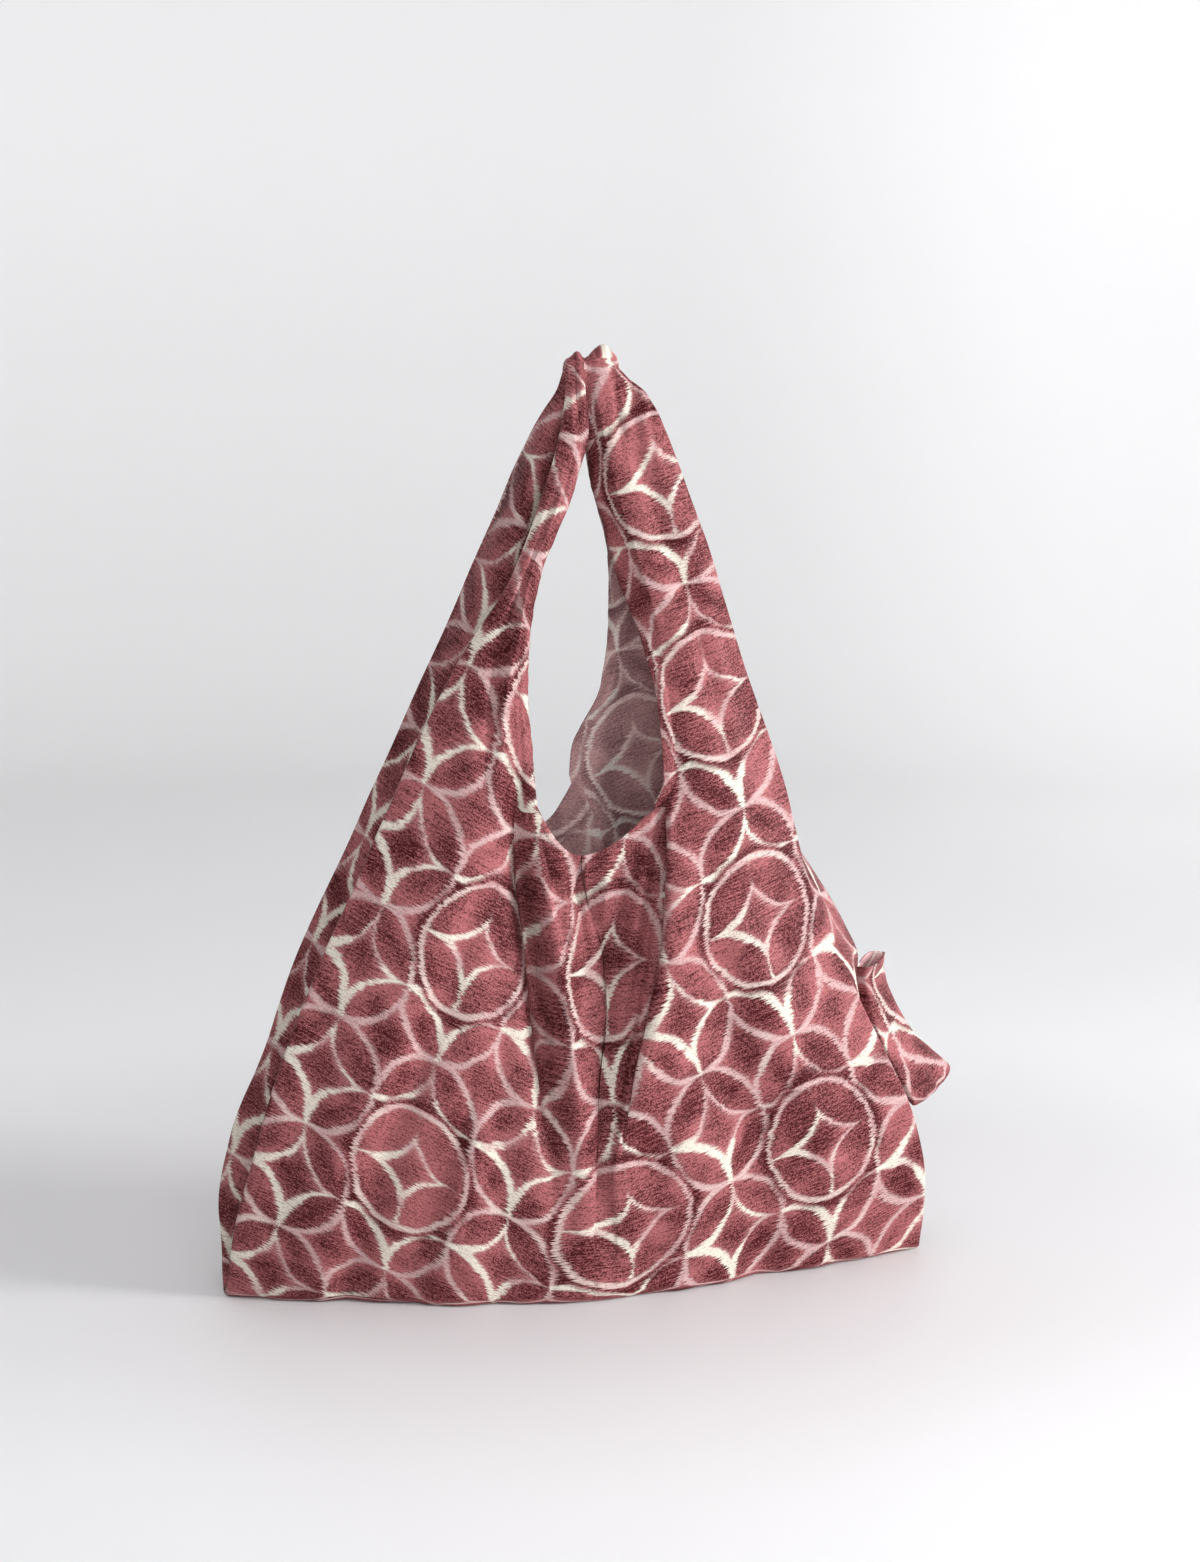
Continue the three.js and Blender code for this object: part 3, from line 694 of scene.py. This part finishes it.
    def build(self) -> bpy.types.Object:
        """Makes the panel's cloth as one mesh, with its print laid out as a UV map.

        Returns:
            The panel's object.
        """
        self.wall_points = lru_cache(maxsize=None)(self.half_section)
        self.row_points = lru_cache(maxsize=None)(self.row_points)
        mesh = bmesh.new()
        print_map = mesh.loops.layers.uv.new(UV_MAP)
        middle_verts = []
        for half in Half:
            middle_verts += self._add_half(mesh, print_map, half)
        bmesh.ops.remove_doubles(mesh, verts=middle_verts, dist=0.02 * MM)
        return finished(self.name, mesh)

    def _add_half(
        self, mesh: bmesh.types.BMesh, print_map: bmesh.types.BMLayerItem, half: Half
    ) -> list[bmesh.types.BMVert]:
        """Adds a half to the mesh, and gives the points up to the neck that it shares with the other half."""
        grid = bmesh.ops.create_grid(mesh, x_segments=self.columns, y_segments=self.rows, size=1)
        places = {}
        for vert in grid["verts"]:
            column = round((vert.co.x + 1) / 2 * self.columns)
            row = round((vert.co.y + 1) / 2 * self.rows)
            places[vert] = (row, column)
        faces = {face for vert in grid["verts"] for face in vert.link_faces}
        for vert, (row, column) in places.items():
            vert.co = self.net_point(half, row, column)
        neck_row = self.wall_row + self.body_rows + self.neck_rows
        under = []
        for face in faces:
            corners = [places[vert] for vert in face.verts]
            row = min(corner[0] for corner in corners)
            column = min(corner[1] for corner in corners)
            past_hem = row >= neck_row and column >= self.crease_column + self.hem_columns
            if past_hem or (row < self.wall_row and column < self.gusset_columns + self.round_columns // 2):
                under.append(face)
                continue
            in_strip = column >= self.crease_column and row < neck_row
            for loop in face.loops:
                corner_row, corner_column = places[loop.vert]
                point = self.row_points(half, corner_row)[corner_column]
                place = self.strip_print(point) if in_strip else self.side_print(half, point, corner_column)
                if row < self.wall_row:
                    place = place - Vector((0, (self.wall_row - corner_row) * BASE_PRINT_STEP))
                loop[print_map].uv = place + Vector(self.print_shift)
        if self.side * half.value > 0:
            bmesh.ops.reverse_faces(mesh, faces=list(faces))
        bmesh.ops.delete(mesh, geom=under, context="FACES")
        left = [v for v in places if v.is_valid]
        return [v for v in left if places[v][1] == self.columns and places[v][0] <= neck_row]


def finished(name: str, mesh: bmesh.types.BMesh) -> bpy.types.Object:
    """Links a mesh as a smooth object at the origin.

    Args:
        name: The object's name.
        mesh: Its mesh, which is freed.

    Returns:
        The object.
    """
    data = bpy.data.meshes.new(name)
    mesh.to_mesh(data)
    mesh.free()
    data.shade_smooth()
    piece = bpy.data.objects.new(name, data)
    bpy.context.scene.collection.objects.link(piece)
    return piece


# The pouch's flat size, where it lies on the print, and the directions of its width and depth
POUCH_HALF_WIDTH = 32
POUCH_LENGTH = 118
POUCH_PRINT_SHIFT = Vector((1.2, 0.4))
POUCH_WIDTH_WAY = Vector((0.6, 0.79, 0.11)).normalized()
POUCH_DEPTH_WAY = Vector((0.797, -0.604, 0)).normalized()
POUCH_COLUMNS = ("row", "x", "y", "z", "half_width", "half_depth")
POUCH_SECTIONS = (
    (0, 213.2, 3.0, 213, 19, 7), (1, 213.2, 3.4, 205, 18, 6), (2, 215.6, 4.3, 194, 18.5, 6),
    (3, 224, 5.5, 172, 22, 5.5), (4, 235.5, 7.5, 151, 25.5, 5.5), (5, 248.5, 8.5, 134, 31.5, 5.5),
    (6, 260, 8, 118, 38.5, 4.5), (7, 262, 8, 113, 38, 2.2),
)


@dataclass
class Pouch:
    """The small open sleeve on the right side seam, into which the bag is folded.

    Attributes:
        name: The piece's name.
        node: The solid that it stands for.
        steps_down: Rings from its mouth to its closed end.
        steps_around: Points in each ring.
        seed: Gives its wrinkles.
    """

    name: str = "pouch_cloth"
    node: str = "pouch"
    steps_down: int = 70
    steps_around: int = 72
    seed: float = 4.7

    def __post_init__(self) -> None:
        """Makes the sections a table."""
        self.table = Table(POUCH_COLUMNS, POUCH_SECTIONS)

    def ring_point(self, down: float, around: float) -> Vector:
        """A point of the sleeve.

        Args:
            down: How far down it lies, from 0 at the mouth to 1 at the closed end.
            around: How far round the ring it lies, from 0 to 1.

        Returns:
            Its place in millimetres.
        """
        s = self.table.at(down * (len(POUCH_SECTIONS) - 1))
        angle = around * 2 * math.pi
        sine, cosine = math.sin(angle), math.cos(angle)
        across = math.copysign(abs(cosine) ** 0.8, cosine) * s["half_width"]
        deep = math.copysign(abs(sine) ** 0.42, sine) * s["half_depth"]
        low = smooth_step(down, 0.55, 1)
        pleat = low * 1.1 * math.sin(across * 0.3 + 1.0 + 2 * down)
        deep += pleat * abs(sine) * (1 - smooth_step(down, 0.93, 1))
        deep += 2.0 * abs(sine) * ripple(across, deep, s["z"], 17, self.seed)
        corner = low * 2.4 * (across / s["half_width"]) ** 2
        rim = (1 - smooth_step(down, 0, 0.12)) * 2.6 * ripple(across, 3 * sine, 0, 15, self.seed + 2)
        centre = Vector((s["x"], s["y"], s["z"] + corner + rim))
        return centre + POUCH_WIDTH_WAY * across + POUCH_DEPTH_WAY * deep

    def build(self) -> bpy.types.Object:
        """Makes the sleeve from a grid that is rolled up and sewn along one side and its end.

        Returns:
            The pouch's object.
        """
        mesh = bmesh.new()
        print_map = mesh.loops.layers.uv.new(UV_MAP)
        bmesh.ops.create_grid(mesh, x_segments=self.steps_around, y_segments=self.steps_down, size=1)
        shares = {v: ((v.co.x + 1) / 2, (v.co.y + 1) / 2) for v in mesh.verts}
        for face in mesh.faces:
            for loop in face.loops:
                around, down = shares[loop.vert]
                width = 2 * abs(2 * around - 1) - 1
                place = Vector((width * POUCH_HALF_WIDTH, (1 - down) * POUCH_LENGTH))
                loop[print_map].uv = place * PRINT_RATE + POUCH_PRINT_SHIFT
        for vert, (around, down) in shares.items():
            vert.co = self.ring_point(down, around) * MM
        bmesh.ops.remove_doubles(mesh, verts=mesh.verts, dist=0.01 * MM)
        low = min(v.co.z for v in mesh.verts)
        end_edges = [e for e in mesh.edges if e.is_boundary and max(v.co.z for v in e.verts) < low + 0.03]
        bmesh.ops.holes_fill(mesh, edges=end_edges, sides=0)
        bmesh.ops.triangulate(mesh, faces=[f for f in mesh.faces if len(f.verts) > 4])
        bmesh.ops.recalc_face_normals(mesh, faces=mesh.faces)
        return finished(self.name, mesh)


@dataclass(frozen=True)
class ClothColours:
    """The colours of one face of the cloth, as linear red, green and blue."""

    deep: tuple[float, float, float]
    rose: tuple[float, float, float]
    pink: tuple[float, float, float]
    cream: tuple[float, float, float]


RIGHT_SIDE = ClothColours(
    deep=(0.046, 0.005, 0.007),
    rose=(0.340, 0.112, 0.118),
    pink=(0.50, 0.338, 0.33),
    cream=(0.64, 0.60, 0.515),
)
# The wrong side is paler and greyer than the right side, and these colours are also lightened well beyond
# that as painted light, standing in for light that reaches the bag's inside
WRONG_SIDE_LIT = ClothColours(
    deep=(0.26, 0.14, 0.15),
    rose=(0.74, 0.45, 0.45),
    pink=(0.98, 0.80, 0.76),
    cream=(0.99, 0.94, 0.87),
)


def joining(operation: str, swapped: bool = False) -> Callable[["Wire", "Wire | float"], "Wire"]:
    """Makes a method of Wire that joins it with another value, which comes first where swapped is set."""
    def method(self: "Wire", other: "Wire | float") -> "Wire":
        """Joins the wire with another value."""
        pair = (other, self) if swapped else (self, other)
        return self.graph.math(operation, *pair)

    return method


class Wire:
    """A shader socket that Python's operators work on, each adding a Math node."""

    __add__ = joining("ADD")
    __radd__ = joining("ADD")
    __sub__ = joining("SUBTRACT")
    __rsub__ = joining("SUBTRACT", swapped=True)
    __mul__ = joining("MULTIPLY")
    __truediv__ = joining("DIVIDE")
    lesser = joining("MINIMUM")
    greater = joining("MAXIMUM")

    def __init__(self, graph: "Graph", socket: bpy.types.NodeSocket) -> None:
        """Wraps a socket of a graph."""
        self.graph = graph
        self.socket = socket

    def __abs__(self) -> "Wire":
        """The value without its sign."""
        return self.graph.math("ABSOLUTE", self)


class Graph:
    """A material's node tree, built up by method calls."""

    def __init__(self, name: str) -> None:
        """Makes an empty material.

        Args:
            name: The material's name.
        """
        self.material = bpy.data.materials.new(name)
        self.material.use_nodes = True
        self.tree = self.material.node_tree
        self.tree.nodes.clear()

    def node(self, kind: str, settings: dict | None = None, inputs: dict | None = None) -> bpy.types.Node:
        """Adds a node.

        Args:
            kind: The node's type.
            settings: Its own settings, which are set first.
            inputs: Values or wires for its sockets, by name or number.

        Returns:
            The node.
        """
        node = self.tree.nodes.new(kind)
        for key, value in (settings or {}).items():
            setattr(node, key, value)
        for key, value in (inputs or {}).items():
            if isinstance(value, Wire):
                self.tree.links.new(value.socket, node.inputs[key])
            else:
                node.inputs[key].default_value = value
        return node

    def wire(self, node: bpy.types.Node, output: str | int = 0) -> Wire:
        """Wraps one of a node's outputs."""
        return Wire(self, node.outputs[output])

    def split(self, place: Wire) -> tuple[Wire, Wire]:
        """The first two values of a vector."""
        node = self.node("ShaderNodeSeparateXYZ", None, {0: place})
        return self.wire(node, "X"), self.wire(node, "Y")

    def math(self, operation: str, *values: Wire | float) -> Wire:
        """Adds a Math node and gives its result."""
        return self.wire(self.node("ShaderNodeMath", {"operation": operation}, dict(enumerate(values))))

    def length(self, x: Wire, y: Wire) -> Wire:
        """The length of a flat vector."""
        return self.math("SQRT", x * x + y * y)

    def step(self, value: Wire, low: float | Wire, high: float | Wire) -> Wire:
        """A smooth share of a value from low to high, which may be the larger."""
        node = self.node(
            "ShaderNodeMapRange", {"interpolation_type": "SMOOTHSTEP"},
            {"Value": value, "From Min": low, "From Max": high},
        )
        return self.wire(node, "Result")

    def cloud(self, x: Wire, y: Wire, seed: float, scale: float, detail: float) -> Wire:
        """An uneven value from 0 to 1, which another seed makes a different one."""
        place = self.wire(self.node("ShaderNodeCombineXYZ", None, {"X": x, "Y": y, "Z": seed}))
        inputs = {"Vector": place, "Scale": scale, "Detail": detail, "Roughness": 0.5}
        return self.wire(self.node("ShaderNodeTexNoise", None, inputs), "Fac")

    def blend(self, share: Wire, a: Wire | tuple, b: Wire | tuple) -> Wire:
        """Mixes two colours."""
        node = self.node("ShaderNodeMix", {"data_type": "RGBA"})
        for number, value in ((0, share), (6, a), (7, b)):
            if isinstance(value, Wire):
                self.tree.links.new(value.socket, node.inputs[number])
            else:
                node.inputs[number].default_value = (*value, 1)
        return Wire(self, node.outputs[2])

    def finish(self, shader: bpy.types.Node) -> bpy.types.Material:
        """Ends the tree with a shader, and gives the material."""
        self.node("ShaderNodeOutputMaterial", None, {"Surface": self.wire(shader, "BSDF")})
        return self.material


# Sizes of the print, in radii of its circles: half of a line's soft edge, how far threads carry the lines
# sideways, how far circles are out of place, the larger rings' radius, and how far they hide the rest
FEATHER = 0.03
COMBED = 0.24
UNEVEN = 0.2
RING_RADIUS = 1.09
RING_REACH = 1.17


@dataclass
class PrintedCloth:
    """Thin woven cloth with a print of interlocking circles, whose lines are combed along the weft.

    Two sets of circles cut each other into petals and four pointed stars. The lines of one set are worn to
    cream, and those of the other are pink. Some places have a larger ring with a star of its own. All lengths
    are in radii of the circles.

    Attributes:
        name: The material's name.
        colours: Its four colours.
        roughness: Its middle roughness.
        sheen: How much sheen its threads have.
        contrast: How strongly the weave's threads show.
    """

    name: str
    colours: ClothColours
    roughness: float = 0.5
    sheen: float = 0.02
    contrast: float = 1.0

    def build(self) -> bpy.types.Material:
        """Makes the material.

        Returns:
            The material.
        """
        self.graph = g = Graph(self.name)
        self.p, self.q = g.split(g.wire(g.node("ShaderNodeUVMap", {"uv_map": UV_MAP})))
        self._weave()
        self._circles()
        lines, cream_share = self._lines()
        tone = self._tone().lesser(1.0).greater(0.0)
        ground = self._flushed(g.blend(tone, self.colours.deep, self.colours.rose))
        line_colour = g.blend(cream_share.lesser(1.0), self.colours.pink, self.colours.cream)
        line_share = (lines.lesser(1.0) * (0.74 + self.creamy * 0.14 + self.threads * 0.8)).greater(0.0)
        relief = self.ribs * 0.6 + self.slubs * 0.5 + self.speckle * 0.25
        bump = g.node("ShaderNodeBump", None, {"Strength": 0.35, "Distance": 0.0006, "Height": relief})
        shader = g.node("ShaderNodeBsdfPrincipled", None, {
            "Base Color": g.blend(line_share.lesser(1.0), ground, line_colour),
            "Roughness": self.roughness + (self.fine - 0.5) * 0.2,
            "Normal": g.wire(bump, "Normal"),
            "Sheen Weight": self.sheen,
            "Sheen Roughness": 0.45,
            "Sheen Tint": (0.85, 0.55, 0.55, 1),
            "Specular IOR Level": 0.06,
        })
        return g.finish(shader)

    def _spread(self, seed: float, scale: float, detail: float = 1.0) -> Wire:
        """An uneven value that changes slowly over the print."""
        return self.graph.cloud(self.p, self.q, seed, scale, detail)

    def _fibres(self, along: float, across: float, seed: float, scale: float, detail: float) -> Wire:
        """An uneven value in streaks, by how fast it changes along the weft and across it."""
        return self.graph.cloud(self.p * along, self.q * across, seed, scale, detail)

    def _weave(self) -> None:
        """Sets up the cloth's threads and the patches of its dye."""
        self.ribs = self._fibres(1.6, 40, 0.0, 1.0, 1.0)
        self.slubs = self._fibres(14, 30, 0.0, 1.0, 2.0)
        self.speckle = self._fibres(38, 38, 5.0, 1.0, 1.0)
        self.fine = self._fibres(1.0, 2.2, 23.0, 2.2, 3.0)
        self.cloud = self._spread(17.0, 1.1, 2.0)
        self.threads = (self.ribs - 0.5) * 1.1 + (self.slubs - 0.5) * 1.6 + (self.speckle - 0.5) * 1.8

    def _nearest(self, value: Wire, shift: float, period: float) -> Wire:
        """How far a value is from the nearest of a row of places."""
        moved = value - shift
        return moved - self.graph.math("ROUND", moved / period) * period

    def _lower_left(self, x: Wire, y: Wire) -> Wire:
        """How far a place lies to the lower left of a circle's middle, where the lines are thickest."""
        return self.graph.step(x * -0.85 - y * 0.55, -0.45, 0.45)

    def _circles(self) -> None:
        """Sets up how far the place is from the middles of the circles around it."""
        g = self.graph
        # The weft carries the print's edges sideways, thread by thread
        x = self.p + (self.ribs - 0.5) * COMBED + (self._spread(3.0, 1.3) - 0.5) * UNEVEN
        y = self.q + (self._spread(7.0, 1.3) - 0.5) * UNEVEN
        pink_x, pink_y = self._nearest(x, 0, 2), self._nearest(y, 0, 2)
        ring_x, ring_y = self._nearest(x, 2, 4), self._nearest(y, 3, 4)
        self.from_pink = g.length(pink_x, pink_y)
        self.from_cream = g.length(self._nearest(x, 1, 2), self._nearest(y, 1, 2))
        self.from_ring = g.length(ring_x, ring_y)
        self.from_star = g.length(abs(ring_x) * 0.97 - 1, abs(ring_y) * 1.2 - 1)
        self.tip = g.step(abs(pink_x).lesser(abs(pink_y)), 0.4, 0.05)
        self.low = self._lower_left(pink_x, pink_y)
        self.ring_low = self._lower_left(ring_x, ring_y)
        self.in_ring = g.step(self.from_ring, RING_REACH, RING_REACH - 0.04)
        self.clear = g.step(self.from_ring, RING_REACH, RING_REACH + 0.14)
        self.in_star = g.step(self.from_ring, 1.06, 1.02)

    def _line(self, distance: Wire, radius: float, half_width: Wire) -> Wire:
        """A soft line at a radius."""
        off = abs(distance - radius)
        return self.graph.step(off, half_width + FEATHER, half_width - FEATHER)

    def _lines(self) -> tuple[Wire, Wire]:
        """The print's lines.

        Returns:
            How strongly a line shows at the place, and how far its colour is worn from pink to cream.
        """
        g = self.graph
        worn = self._spread(31.0, 1.15)
        swell = self._spread(11.0, 1.7)
        self.creamy = g.step(worn + self.tip * 0.1 + self.low * 0.16, 0.52, 0.66)
        ring_creamy = g.step(worn + self.ring_low * 0.18, 0.52, 0.64)
        thick = 0.006 + swell * 0.03 + self.creamy * (0.008 + self.low * 0.04) + self.tip * 0.008
        cream_line = self._line(self.from_cream, 1.03, thick)
        pink_line = self._line(self.from_pink, 1.02, 0.02 + swell * 0.066)
        ring_line = self._line(self.from_ring, RING_RADIUS, 0.02 + swell * 0.05)
        star_thick = 0.008 + swell * 0.03 + self.ring_low * 0.045
        star_line = self._line(self.from_star, 1.05, star_thick) * self.in_star
        lines = cream_line.greater(pink_line) * self.clear
        ring_lines = ring_line.greater(star_line) * self.in_ring
        cream_share = (cream_line * self.creamy).greater(pink_line * (g.step(worn, 0.56, 0.7) * 0.4))
        ring_share = ring_creamy * (0.35 + star_line * 0.6)
        cream_share = cream_share + (ring_share - cream_share) * self.in_ring
        return lines * (1 - self.in_ring) + ring_lines, cream_share

    def _tone(self) -> Wire:
        """How light the ground is between the lines, from 0 for deep to 1 for rose."""
        g = self.graph
        star = g.step(self.from_cream, 0.99, 1.01) + g.step(self.from_pink, 0.99, 1.01)
        rim = g.step(self.from_pink.greater(self.from_cream), 0.62, 0.96)
        heart = g.step(self.from_pink.lesser(self.from_cream), 0.55, 0.1)
        petal_tone = g.step(self.cloud, 0.36, 0.68) * 0.55 + rim * 0.32
        star_tone = 0.6 + g.step(self.cloud, 0.3, 0.7) * 0.35 - heart * 0.45
        tone = petal_tone + (star_tone - petal_tone) * star.lesser(1.0)
        ring_star = g.step(self.from_star, 1.0, 1.04) * (0.25 - g.step(self.from_ring, 0.45, 0.1) * 0.4)
        ring_tone = 0.24 + g.step(self.cloud, 0.34, 0.66) * 0.55 + ring_star
        tone = tone + (ring_tone - tone) * self.in_ring
        tone = tone - g.step(self.from_ring, 1.40, 1.22) * (1 - self.in_ring) * 0.35
        return g.math("MULTIPLY_ADD", self.threads, 1.15 * self.contrast, tone + (self.fine - 0.5) * 0.35)

    def _flush(self, distance: Wire, reach: float, strength: float) -> Wire:
        """A soft glow on both sides of a line, which reaches farther on its outer one."""
        g = self.graph
        return g.step(distance, reach, 1.04) * g.step(distance, 0.98, 1.04) * strength

    def _flushed(self, ground: Wire) -> Wire:
        """The ground's colour, flushed with pink beside the lines."""
        flush = self._flush(self.from_cream, 1.18, 0.2) + self._flush(self.from_pink, 1.15, 0.12)
        ring_flush = self._flush(self.from_star, 1.18, 0.3) * self.in_star * self.in_ring
        flush = flush * self.clear + ring_flush
        share = (flush * (0.5 + self.cloud + self.threads * 0.9)).greater(0.0)
        return self.graph.blend(share.lesser(1.0), ground, self.colours.pink)


@dataclass
class Bag:
    """The whole bag: two panels and the pouch, with their cloth.

    Attributes:
        slot: The panels' material slot; not used.
        pouch_slot: The pouch's material slot; not used.
    """

    slot: str = "printed_cloth"
    pouch_slot: str = "pouch_cloth"

    def build(self) -> None:
        """Builds and dresses every piece, attaches it to the root body and hides the solid that it stands
        for.
        """
        outer = PrintedCloth("printed_cloth", RIGHT_SIDE).build()
        # The wrong side's material, whose colours carry painted light for the bag's inside
        inner = PrintedCloth("cloth_wrong_side_lit", WRONG_SIDE_LIT, roughness=0.8, sheen=0.2, contrast=0.8).build()
        front = Panel(
            "front_cloth", "front_panel", 1, Table(SECTION_COLUMNS, FRONT_SECTIONS), FRONT_FOLDS,
            Table(TUCK_COLUMNS, FRONT_TUCK), FRONT_NECK, Table(BULGE_COLUMNS, FRONT_BULGE), (0.0, 0.0), 1.3,
        )
        back = Panel(
            "back_cloth", "back_panel", -1, Table(SECTION_COLUMNS, BACK_SECTIONS), BACK_FOLDS,
            Table(TUCK_COLUMNS, BACK_TUCK), BACK_NECK, Table(BULGE_COLUMNS, BACK_BULGE), (0.9, 1.3), 8.9,
        )
        for panel in (front, back):
            piece = panel.build()
            self._dress(piece, outer, inner)
            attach(piece, "root")
            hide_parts(panel.node)
        pouch = Pouch()
        piece = pouch.build()
        self._dress(piece, outer, inner)
        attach(piece, "root")
        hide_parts(pouch.node)

    def _dress(self, piece: bpy.types.Object, outer: bpy.types.Material, inner: bpy.types.Material) -> None:
        """Gives a cloth its thickness, with its wrong side on the inner face."""
        piece.data.materials.append(outer)
        piece.data.materials.append(inner)
        solid = piece.modifiers.new("thickness", "SOLIDIFY")
        solid.thickness = CLOTH_THICKNESS * MM
        solid.offset = 0
        solid.material_offset = 1
        solid.material_offset_rim = 0
        log.info("%s: %d faces", piece.name, len(piece.data.polygons))


# Each lamp's name, its place, the point that it faces, the length of its side, and its power
LAMPS = (
    ("key_light", (2.3, -1.3, 0.9), (0.02, 0, 0.28), 0.8, 78),
    ("fill_light", (-0.3, -2.7, 1.0), (0, 0, 0.33), 1.2, 21),
    ("top_light", (0.1, 0.1, 2.5), (0, 0.1, 0.2), 1.8, 15),
)
WORLD_COLOUR = (1.0, 1.0, 1.01, 1)
WORLD_STRENGTH = 0.38
CAMERA_PLACE = (-0.49846, -2.24534, 0.72519)
CAMERA_WAY = (0.22026, 0.96205, -0.16110)
CAMERA_TURN = (0.9748, 0.2232)
FOCAL_PIXELS = 3377.1
PICTURE_HEIGHT = 1562
SENSOR = 36.0

# The sweep's floor, the bend up to its wall, and the wall
FLOOR_REACH = 2.2
BEND_RADIUS = 0.9
BEND_LENGTH = math.pi / 2 * BEND_RADIUS
WALL_HEIGHT = 2.4
PROFILE_STEPS = 60
TURNS = 96

# The paper's colours: round the bag, darker as painted shade; beyond it; far away; far away on the right,
# lighter as painted light; and on the dark flag, which keeps light off the bag's left side
PAPER_NEAR_SHADED = (0.70, 0.69, 0.70)
PAPER_MIDDLE = (0.80, 0.80, 0.81)
PAPER_FAR = (0.81, 0.81, 0.815)
PAPER_RIGHT_LIT = (0.96, 0.96, 0.965)
PAPER_FLAG = (0.60, 0.60, 0.61)


class Studio:
    """The pale sweep, the soft lights and the camera."""

    def build(self) -> None:
        """Sets up the studio."""
        sweep = self._sweep()
        sweep.data.materials.append(self._paper())
        sweep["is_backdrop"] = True
        for name, place, aim, size, power in LAMPS:
            data = bpy.data.lights.new(name, "AREA")
            data.size = size
            data.energy = power
            self._stand(name, data, place, Vector(aim) - Vector(place))
        world = bpy.data.worlds.new("studio")
        world.use_nodes = True
        world.node_tree.nodes["Background"].inputs["Color"].default_value = WORLD_COLOUR
        world.node_tree.nodes["Background"].inputs["Strength"].default_value = WORLD_STRENGTH
        bpy.context.scene.world = world
        bpy.context.scene.view_settings.view_transform = "Standard"
        data = bpy.data.cameras.new("camera")
        data.sensor_fit = "VERTICAL"
        data.sensor_height = SENSOR
        data.sensor_width = SENSOR
        data.lens = SENSOR * FOCAL_PIXELS / PICTURE_HEIGHT
        bpy.context.scene.camera = self._stand("camera", data, CAMERA_PLACE, Vector(CAMERA_WAY).normalized())

    def _stand(
        self, name: str, data: bpy.types.ID, place: tuple[float, float, float], way: Vector
    ) -> bpy.types.Object:
        """Stands a lamp or the camera at a place, facing along a direction."""
        item = bpy.data.objects.new(name, data)
        bpy.context.scene.collection.objects.link(item)
        turn = way.to_track_quat("-Z", "Y")
        item.matrix_world = Matrix.Translation(place) @ turn.to_matrix().to_4x4()
        return item

    def _profile_point(self, along: float) -> tuple[float, float, float]:
        """The point of the sweep's section at a length from the floor's middle."""
        past = along - FLOOR_REACH
        if past <= 0:
            return (along, 0, 0)
        if past <= BEND_LENGTH:
            angle = past / BEND_RADIUS
            return (FLOOR_REACH + BEND_RADIUS * math.sin(angle), 0, BEND_RADIUS * (1 - math.cos(angle)))
        return (FLOOR_REACH + BEND_RADIUS, 0, BEND_RADIUS + past - BEND_LENGTH)

    def _sweep(self) -> bpy.types.Object:
        """Makes the round floor, which curves up into a wall on all sides."""
        mesh = bmesh.new()
        step = (FLOOR_REACH + BEND_LENGTH + WALL_HEIGHT) / PROFILE_STEPS
        profile = [mesh.verts.new(self._profile_point(step * i)) for i in range(PROFILE_STEPS + 1)]
        edges = [mesh.edges.new(pair) for pair in zip(profile, profile[1:])]
        bmesh.ops.spin(
            mesh, geom=profile + edges, cent=(0, 0, 0), axis=(0, 0, 1), angle=2 * math.pi, steps=TURNS,
            use_merge=True,
        )
        bmesh.ops.remove_doubles(mesh, verts=mesh.verts, dist=0.0001)
        bmesh.ops.recalc_face_normals(mesh, faces=mesh.faces)
        if sum(face.normal.z for face in mesh.faces) < 0:
            bmesh.ops.reverse_faces(mesh, faces=mesh.faces)
        return finished("sweep", mesh)

    def _paper(self) -> bpy.types.Material:
        """The sweep's paper, whose colour changes with the distance and direction from the bag: painted shade
        round the bag, painted light far away on the right, and the dark flag on the left.
        """
        g = Graph("studio_paper")
        x, y = g.split(g.wire(g.node("ShaderNodeTexCoord"), "Object"))
        cosine, sine = CAMERA_TURN
        along = (x * sine + y * cosine - 0.15) * 1.6
        across = x * cosine - y * sine
        away = g.length(along, across)
        # Painted shade: the paper darkens towards the bag
        colour = g.blend(g.step(away, 0.4, 1.0), PAPER_NEAR_SHADED, PAPER_MIDDLE)
        colour = g.blend(g.step(away, 1.8, 3.2), colour, PAPER_FAR)
        # Painted light: the paper lightens far away on the right
        colour = g.blend(g.step(across, 0.1, 0.8) * g.step(away, 1.4, 3.0), colour, PAPER_RIGHT_LIT)
        colour = g.blend(g.step(x, -1.3, -2.1), colour, PAPER_FLAG)
        return g.finish(g.node("ShaderNodeBsdfPrincipled", None, {"Base Color": colour, "Roughness": 0.55}))


def corners() -> list[list[float]]:
    """The lowest and highest corner of the shown object, as plain lists."""
    return [list(corner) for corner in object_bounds()]


def main() -> None:
    """Builds the bag and its studio."""
    logging.basicConfig(level=logging.INFO, format="%(message)s")
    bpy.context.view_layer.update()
    Bag().build()
    Studio().build()


if __name__ == "__main__":
    main()
